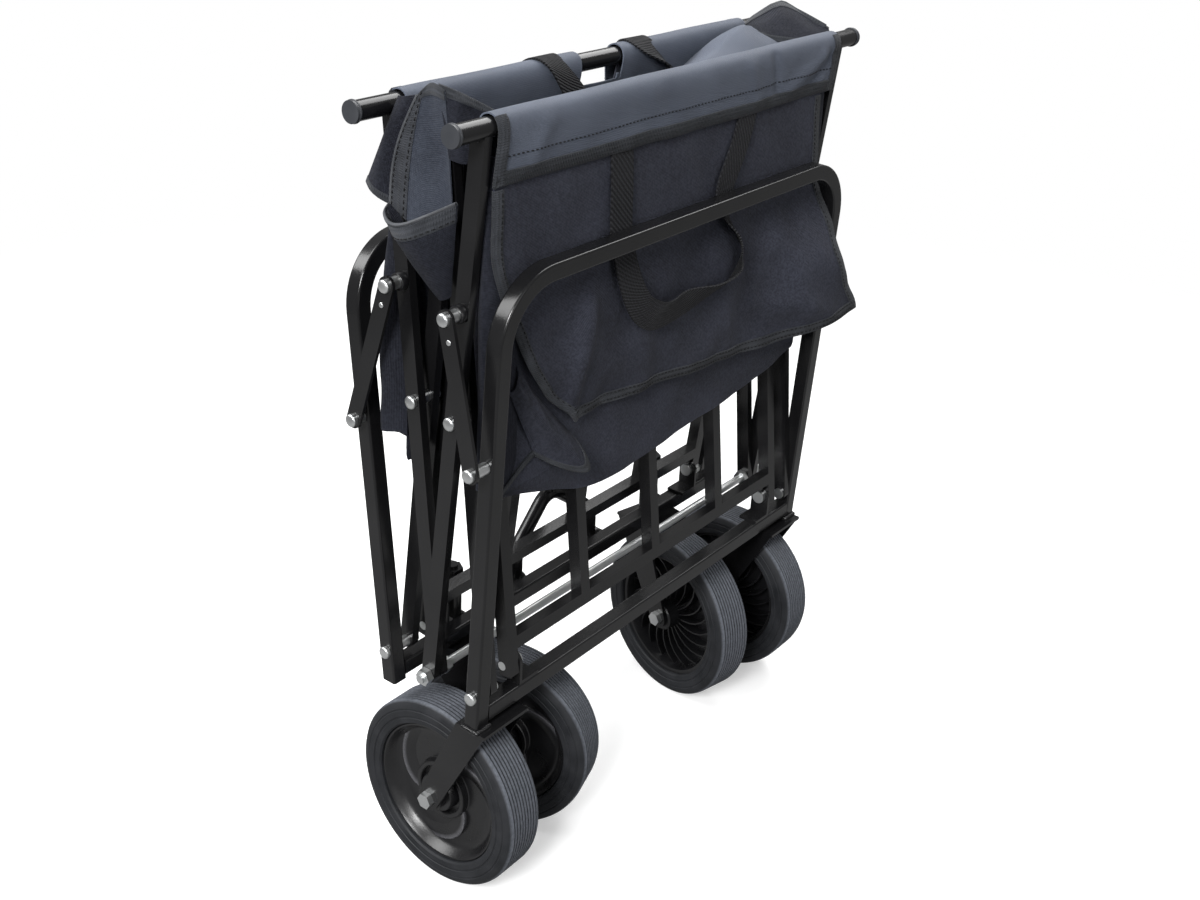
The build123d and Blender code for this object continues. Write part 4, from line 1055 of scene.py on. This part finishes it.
# %% Shape of the pouches
SIDES = ((-1, "left"), (1, "right"))
RIM_LINE = vectors((-250, 41, 622), (-263, 36, 617), (-274, 20, 615), (-278, 2, 618), (-271, -16, 627),
                   (-251, -26, 634))
TIP_LINE = vectors((-247, -5, 562), (-250, -6, 559), (-252, -9, 557), (-252, -12, 557), (-250, -15, 558),
                   (-247, -17, 560))
BACK_FOOT = vectors((-252, 40, 621), (-247, 16, 604), (-246, 0, 606), (-244, -16, 620))
HEADS = {
    -1: vectors((-246, 17, 707), (-243.5, 9, 715), (-243, 2, 715.5), (-241, -5, 712)),
    1: vectors((-247, 34, 707), (-246, 12, 724), (-249, -8, 718), (-258, -34, 706)),
}
GUSSET_EDGE = vectors((-246.5, 37, 703), (-258, 60, 636))
FRONT_SIZE, FRONT_AREA = (105, 66), 4000
BACK_SIZE, BACK_AREA = (66, 104), 5300
GUSSET_SIZE, GUSSET_AREA = (28, 84), {-1: 2200, 1: 1450}


def pouch_front(u, v):
    point = through(RIM_LINE, u).lerp(through(TIP_LINE, u), v)
    belly = math.sin(math.pi * v ** 0.8) * math.sin(math.pi * u)
    return point + Vector((-4 * belly + 1.2 * ripple(u * 80, v * 90, 26, 6.1), 0, 0))


print("pouch rim", RIM_LINE[0].z, "mm high")

# %% Side pouches
PIPE_T = 0.3
for side, name in SIDES:
    def pouch_back(u, v):
        point = through(HEADS[side], u).lerp(through(BACK_FOOT, u), v)
        belly = math.sin(math.pi * v)
        slack = 1.2 * ripple(u * 60, v * 80, 30, 7.7) * ramp(u, 0, 0.2)
        return point + Vector((slack + 3 * belly * math.sin(math.pi * u) - 2.5 * belly * (1 - u) ** 2,
                               5.5 * belly * (1 - u) ** 2, 0))

    def gusset(u, v):
        point = GUSSET_EDGE[0].lerp(GUSSET_EDGE[1], v).lerp(pouch_back(0, v), u)
        return point - Vector(((5 + 2 * math.sin(math.pi * v)) * math.sin(math.pi * u), 0, 0))

    def pipe(line, size, radius, second, offset):
        """A thin tube along a line; its section lies across the outward and a second direction."""
        def pipe_at(u, v):
            turn = math.tau * v
            around = Vector(outward) * math.cos(turn) + Vector(second) * math.sin(turn)
            return line(u) + around * radius + Vector(offset)
        return cloth("pipe", 40, 8, size, pipe_at, PIPE_T)

    outward = (side, 0, 0)
    front_at, back_at, gusset_at = (mirrored(shape, -side) for shape in (pouch_front, pouch_back, gusset))
    # The pouch front and gusset are cut from the darker cloth copy, which is painted shade.
    front = sheet(name + "_pouch_front", (40, 24), FRONT_SIZE, front_at, "tub_sides",
                  painted_shade_cloth)
    sheet(name + "_pouch_back", (30, 30), BACK_SIZE, back_at, "tub_sides",
          lining_cloth)
    sheet(name + "_pouch_gusset", (14, 24), GUSSET_SIZE, gusset_at, "tub_sides",
          painted_shade_cloth)
    if side < 0:
        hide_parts("side_pockets")
    tapes = [
        edge_tape(lengthwise(back_at, 0), lengthwise(back_at, 0.2), outward, 100, WIDE),
        edge_tape(crosswise(front_at, 0), crosswise(front_at, 0.19), outward, FRONT_SIZE[0], WIDE),
        edge_tape(crosswise(back_at, 0), crosswise(back_at, 0.07), outward, BACK_SIZE[0], SLIM),
        edge_tape(crosswise(gusset_at, 1), crosswise(gusset_at, 0.93), outward, 30, 6),
    ]
    trim(tapes, name + "_pouch_tape", "tub_sides", tape_cloth)
    lines = ((crosswise(front_at, 0.16), FRONT_SIZE[0]), (lengthwise(back_at, 0.17), 100),
             (lengthwise(back_at, 0.03), 100))
    rows = [stitches(line, outward, length, HIGH_LIFT) for line, length in lines]
    trim(rows, name + "_pouch_stitches", "tub_sides", thread)
    pipes = [pipe(crosswise(front_at, 0), (FRONT_SIZE[0], 9), 1.5, (0, 0, 1), (side * 0.8, 0, 0.9)),
             pipe(lengthwise(back_at, 0), (100, 7), 1.1, (0, 1, 0), (side * 1.2, 0.4, 0))]
    trim(pipes, name + "_pouch_piping", "tub_sides", piping)
print("pouches", len(HEADS))

# %% [markdown]
# Where an end wall turns to the side, its cloth rolls round the corner in a soft fold, which hangs
# fuller at the front. At the lower left of the rear wall the corner of the tub is turned out in a
# short roll with a bound end. All are sheets bent round a line, and they move with their end wall.

# %% Corners of the end walls
CORNER_TOP, REAR_FOOT, FRONT_FOOT = 672, 404, 408
CORNER_SIZE = (62, 268)
CORNER_STICKS_OUT = 0.6


def rear_corner(u, v):
    """A slim roll."""
    z = CORNER_TOP + (REAR_FOOT - CORNER_TOP) * v
    inside = -33 - 9 * ramp(z, 540, 420)
    flat = through(vectors((208, -51.2), (226, -51.8), (238, -50.2), (243.6, -46), (242, -41), (232, inside)), u)
    swell = 1.5 * ripple(u * 60, z, 40, 9.3) * math.sin(math.pi * u)
    return flat.x + min(swell, CORNER_STICKS_OUT), flat.y + 0.6 * swell, z


def front_corner(u, v):
    """A roll that swells towards its foot."""
    swell = ramp(v, 0.1, 0.75)
    flat = through(vectors((208, 50.5), (225, 52 + 2 * swell), (236 + 2 * swell, 52 + 7 * swell),
                           (242 + 5 * swell, 50 + 9 * swell), (243 + 6 * swell, 47 + 5 * swell),
                           (233 + 4 * swell, 40)), u)
    foot = FRONT_FOOT + 18 * ramp(flat.x, 214, 246)
    z = CORNER_TOP + (foot - CORNER_TOP) * v
    crumple = 1.6 * ripple(u * 60, z, 36, 5.8) * math.sin(math.pi * u)
    return flat.x + min(crumple, CORNER_STICKS_OUT), flat.y + crumple, z


# The corners are cut from the darker cloth copy, which is painted shade.
for side, name in SIDES:
    for end, shape in (("rear", rear_corner), ("front", front_corner)):
        corner = sheet(f"{end}_{name}_corner", (26, 40), CORNER_SIZE, mirrored(shape, side), end + "_end_wall",
                       painted_shade_cloth)
        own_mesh(corner)
print("corners", CORNER_SIZE, "mm")

# %% Corner roll
ROLL_LEFT = vectors((-220, -53, 483), (-188, -54, 418))
ROLL_RIGHT = vectors((-211, -52.5, 504), (-190, -53.5, 472), (-141, -54, 420))
ROLL_BULGE = Vector((24, -19, -25))
ROLL_SIZE, ROLL_AREA = (96, 104), 5000
SEAM = vectors((-226, -52.5, 396), (-213, -53, 405), (-200, -53.5, 413), (-186, -54, 420))


def roll_at(u, v):
    """A half cone: narrow where the corner starts to turn and open at its bound mouth."""
    point = ROLL_LEFT[0].lerp(ROLL_LEFT[1], u).lerp(through(ROLL_RIGHT, u), v)
    swell = max(math.sin(math.pi * v ** 0.85), 0) ** 0.8 * (0.12 + 0.88 * u)
    crumple = Vector((0, -3.4, 1)) * ripple(u * 90, v * 60, 20, 3.9) * math.sin(math.pi * v)
    return point + ROLL_BULGE * swell + crumple


sheet("rear_corner_roll", (40, 28), ROLL_SIZE, roll_at, "rear_end_wall")
tapes = [edge_tape(lengthwise(roll_at, 1), lengthwise(roll_at, 0.92), TO_REAR, 100, SLIM),
         edge_tape(lambda t: through(SEAM, t), lambda t: through(SEAM, t) + Vector((0, 0, 5)), TO_REAR, 48, 5)]
trim(tapes, "rear_corner_tape", "rear_end_wall", tape_cloth)
print("corner roll", ROLL_SIZE, "mm")

# %% [markdown]
# Between the rails the slack of the side cloth is pushed up in loose folds. On the left a bound edge
# dips from the pouch to the near rail. On the right a pale fold lies in the tub and a hood of cloth
# stands above it. They only exist while the wagon is folded.

# %% Shape of the loose folds
LEFT_TOP = vectors((-242, 1, 716), (-239, -5, 714), (-234, -11, 711), (-220, -14.5, 703.6), (-206, -20, 695.3),
                   (-188, -29, 685))
LEFT_FOOT = vectors((-243, -10, 664), (-241, -14, 662), (-235, -19, 660), (-220, -24, 660), (-206, -30, 660),
                    (-188, -36, 658))
PALE_CREST = vectors((96, 2, 684), (130, 4, 696), (160, 7, 706), (184, 8, 709), (206, 4, 704), (226, -2, 694))
PALE_DROP, PALE_HALF = 26, 38
HOOD_TOP = vectors((180, 8, 710), (198, 15, 712), (217, 17, 716), (236, 8, 725), (250, -4, 719),
                   (257, -20, 710), (260, -36, 704))
HOOD_FOOT = vectors((180, 5, 707), (190, -3, 701), (202, -12, 695), (214, -24, 692), (226, -32, 692),
                    (240, -38, 694), (256, -41, 697))


def left_fold(u, v):
    point = through(LEFT_TOP, u).lerp(through(LEFT_FOOT, u), v)
    return point + Vector((0, 1.2 * ripple(u * 70, v * 50, 22, 2.8), 0))


def pale_fold(u, v):
    across = 2 * v - 1
    sag = PALE_DROP * abs(across) ** 1.25
    crumple = 4 * ripple(u * 130, v * 70, 26, 2.8) * (1 - across * across)
    return through(PALE_CREST, u) + Vector((5 * across * (1 - u), -PALE_HALF * across, crumple - sag))


def hood_fold(u, v):
    point = through(HOOD_TOP, u).lerp(through(HOOD_FOOT, u), v)
    belly = math.sin(math.pi * u) * math.sin(math.pi * v)
    return point + Vector((-4 * belly, -2 * belly, 3 * belly + 3 * ripple(u * 90, v * 60, 24, 6.6) * belly))


print("pale fold", 2 * PALE_HALF, "mm over the top")

# %% Loose folds between the rails
TO_CAMERA = (-0.5, -0.6, 0.6)
UPPER_EDGE, LOWER_EDGE = (0, 0.14), (1, 0.86)
# The left fold and the hood are cut from the darker cloth copy, which is painted shade.
LOOSE = (
    ("left_loose_fold", -1, (76, 50), left_fold, 3600, painted_shade_cloth, (UPPER_EDGE,)),
    ("right_loose_fold", 1, (142, 96), pale_fold, 13000, coated_cloth, ()),
    ("right_hood_fold", 1, (112, 54), hood_fold, 4200, painted_shade_cloth, (UPPER_EDGE, LOWER_EDGE)),
)
for name, side, size, shape, area, stuff, edges in LOOSE:
    pieces = [sheet(name, (48, 28), size, shape, "tub_sides", stuff)]
    if edges:
        tapes = [edge_tape(crosswise(shape, edge), crosswise(shape, inner), TO_CAMERA, size[0], SLIM)
                 for edge, inner in edges]
        pieces.append(trim(tapes, name + "_edge", "tub_sides", tape_cloth))
    for piece in pieces:
        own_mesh(piece)
print("loose folds", len(LOOSE))

# %% [markdown]
# The forks and rails are welded to the tubes. A weld is a row of overlapping drops, so one small ball
# is copied along each seam, a little uneven in size and place.

# %% Weld beads
DROP_PITCH = 2.2
DROP_WOBBLE = 0.25
drop = primitive(bpy.ops.mesh.primitive_uv_sphere_add, "drop_pattern", segments=10, ring_count=6, radius=MM)


def bead(corners, radius):
    """Placements of weld drops along straight runs between corners."""
    places = []
    for start_point, end_point in zip(corners, corners[1:]):
        run = Vector(end_point) - Vector(start_point)
        count = max(int(run.length / DROP_PITCH), 1)
        for number in range(count):
            here = Vector(start_point) + run * (number / count)
            wobble = DROP_WOBBLE * ripple(here.x + here.y, here.z, 3, 1.3)
            grow = Matrix.Scale(radius * (1 + wobble), 4)
            places.append(Matrix.Translation((here + Vector((wobble, wobble, wobble))) * MM) @ grow)
    return places


HOOP_FOOT_Z = 185.6
HOOP_INSIDE, HOOP_OUTSIDE = 239.7, 255.3
HOOP_NEAR, HOOP_FAR = -56.1, -40.6
BAR_OUTSIDE = {"rear": 255, "front": 246}
BAR_T = 8
FORK_WELD, RAIL_WELD = 2.4, 1.6
RAIL_WELD_LINE = ((-7, 689), (-3, 686.6), (3, 686.6))
seams = []
for side in (-1, 1):
    inner, outer = side * HOOP_INSIDE, side * HOOP_OUTSIDE
    foot = ((outer, HOOP_FAR), (outer, HOOP_NEAR), (inner, HOOP_NEAR), (inner, HOOP_FAR))
    seams += bead([(x, y, HOOP_FOOT_Z) for x, y in foot], FORK_WELD)
dress(scatter("rear_fork_welds", drop, seams), "rear_frame", "frame_black")
for end, way in ENDS:
    seams = []
    for side in (-1, 1):
        for x in (BAR_OUTSIDE[end], BAR_OUTSIDE[end] - BAR_T):
            seams += bead([(side * x, out_from(way, depth), z) for depth, z in RAIL_WELD_LINE], RAIL_WELD)
    dress(scatter(end + "_rail_welds", drop, seams), end + "_long_bars", "frame_black")
for pattern in (drop, stitch):
    bpy.data.objects.remove(pattern)
print("weld drops every", DROP_PITCH, "mm")
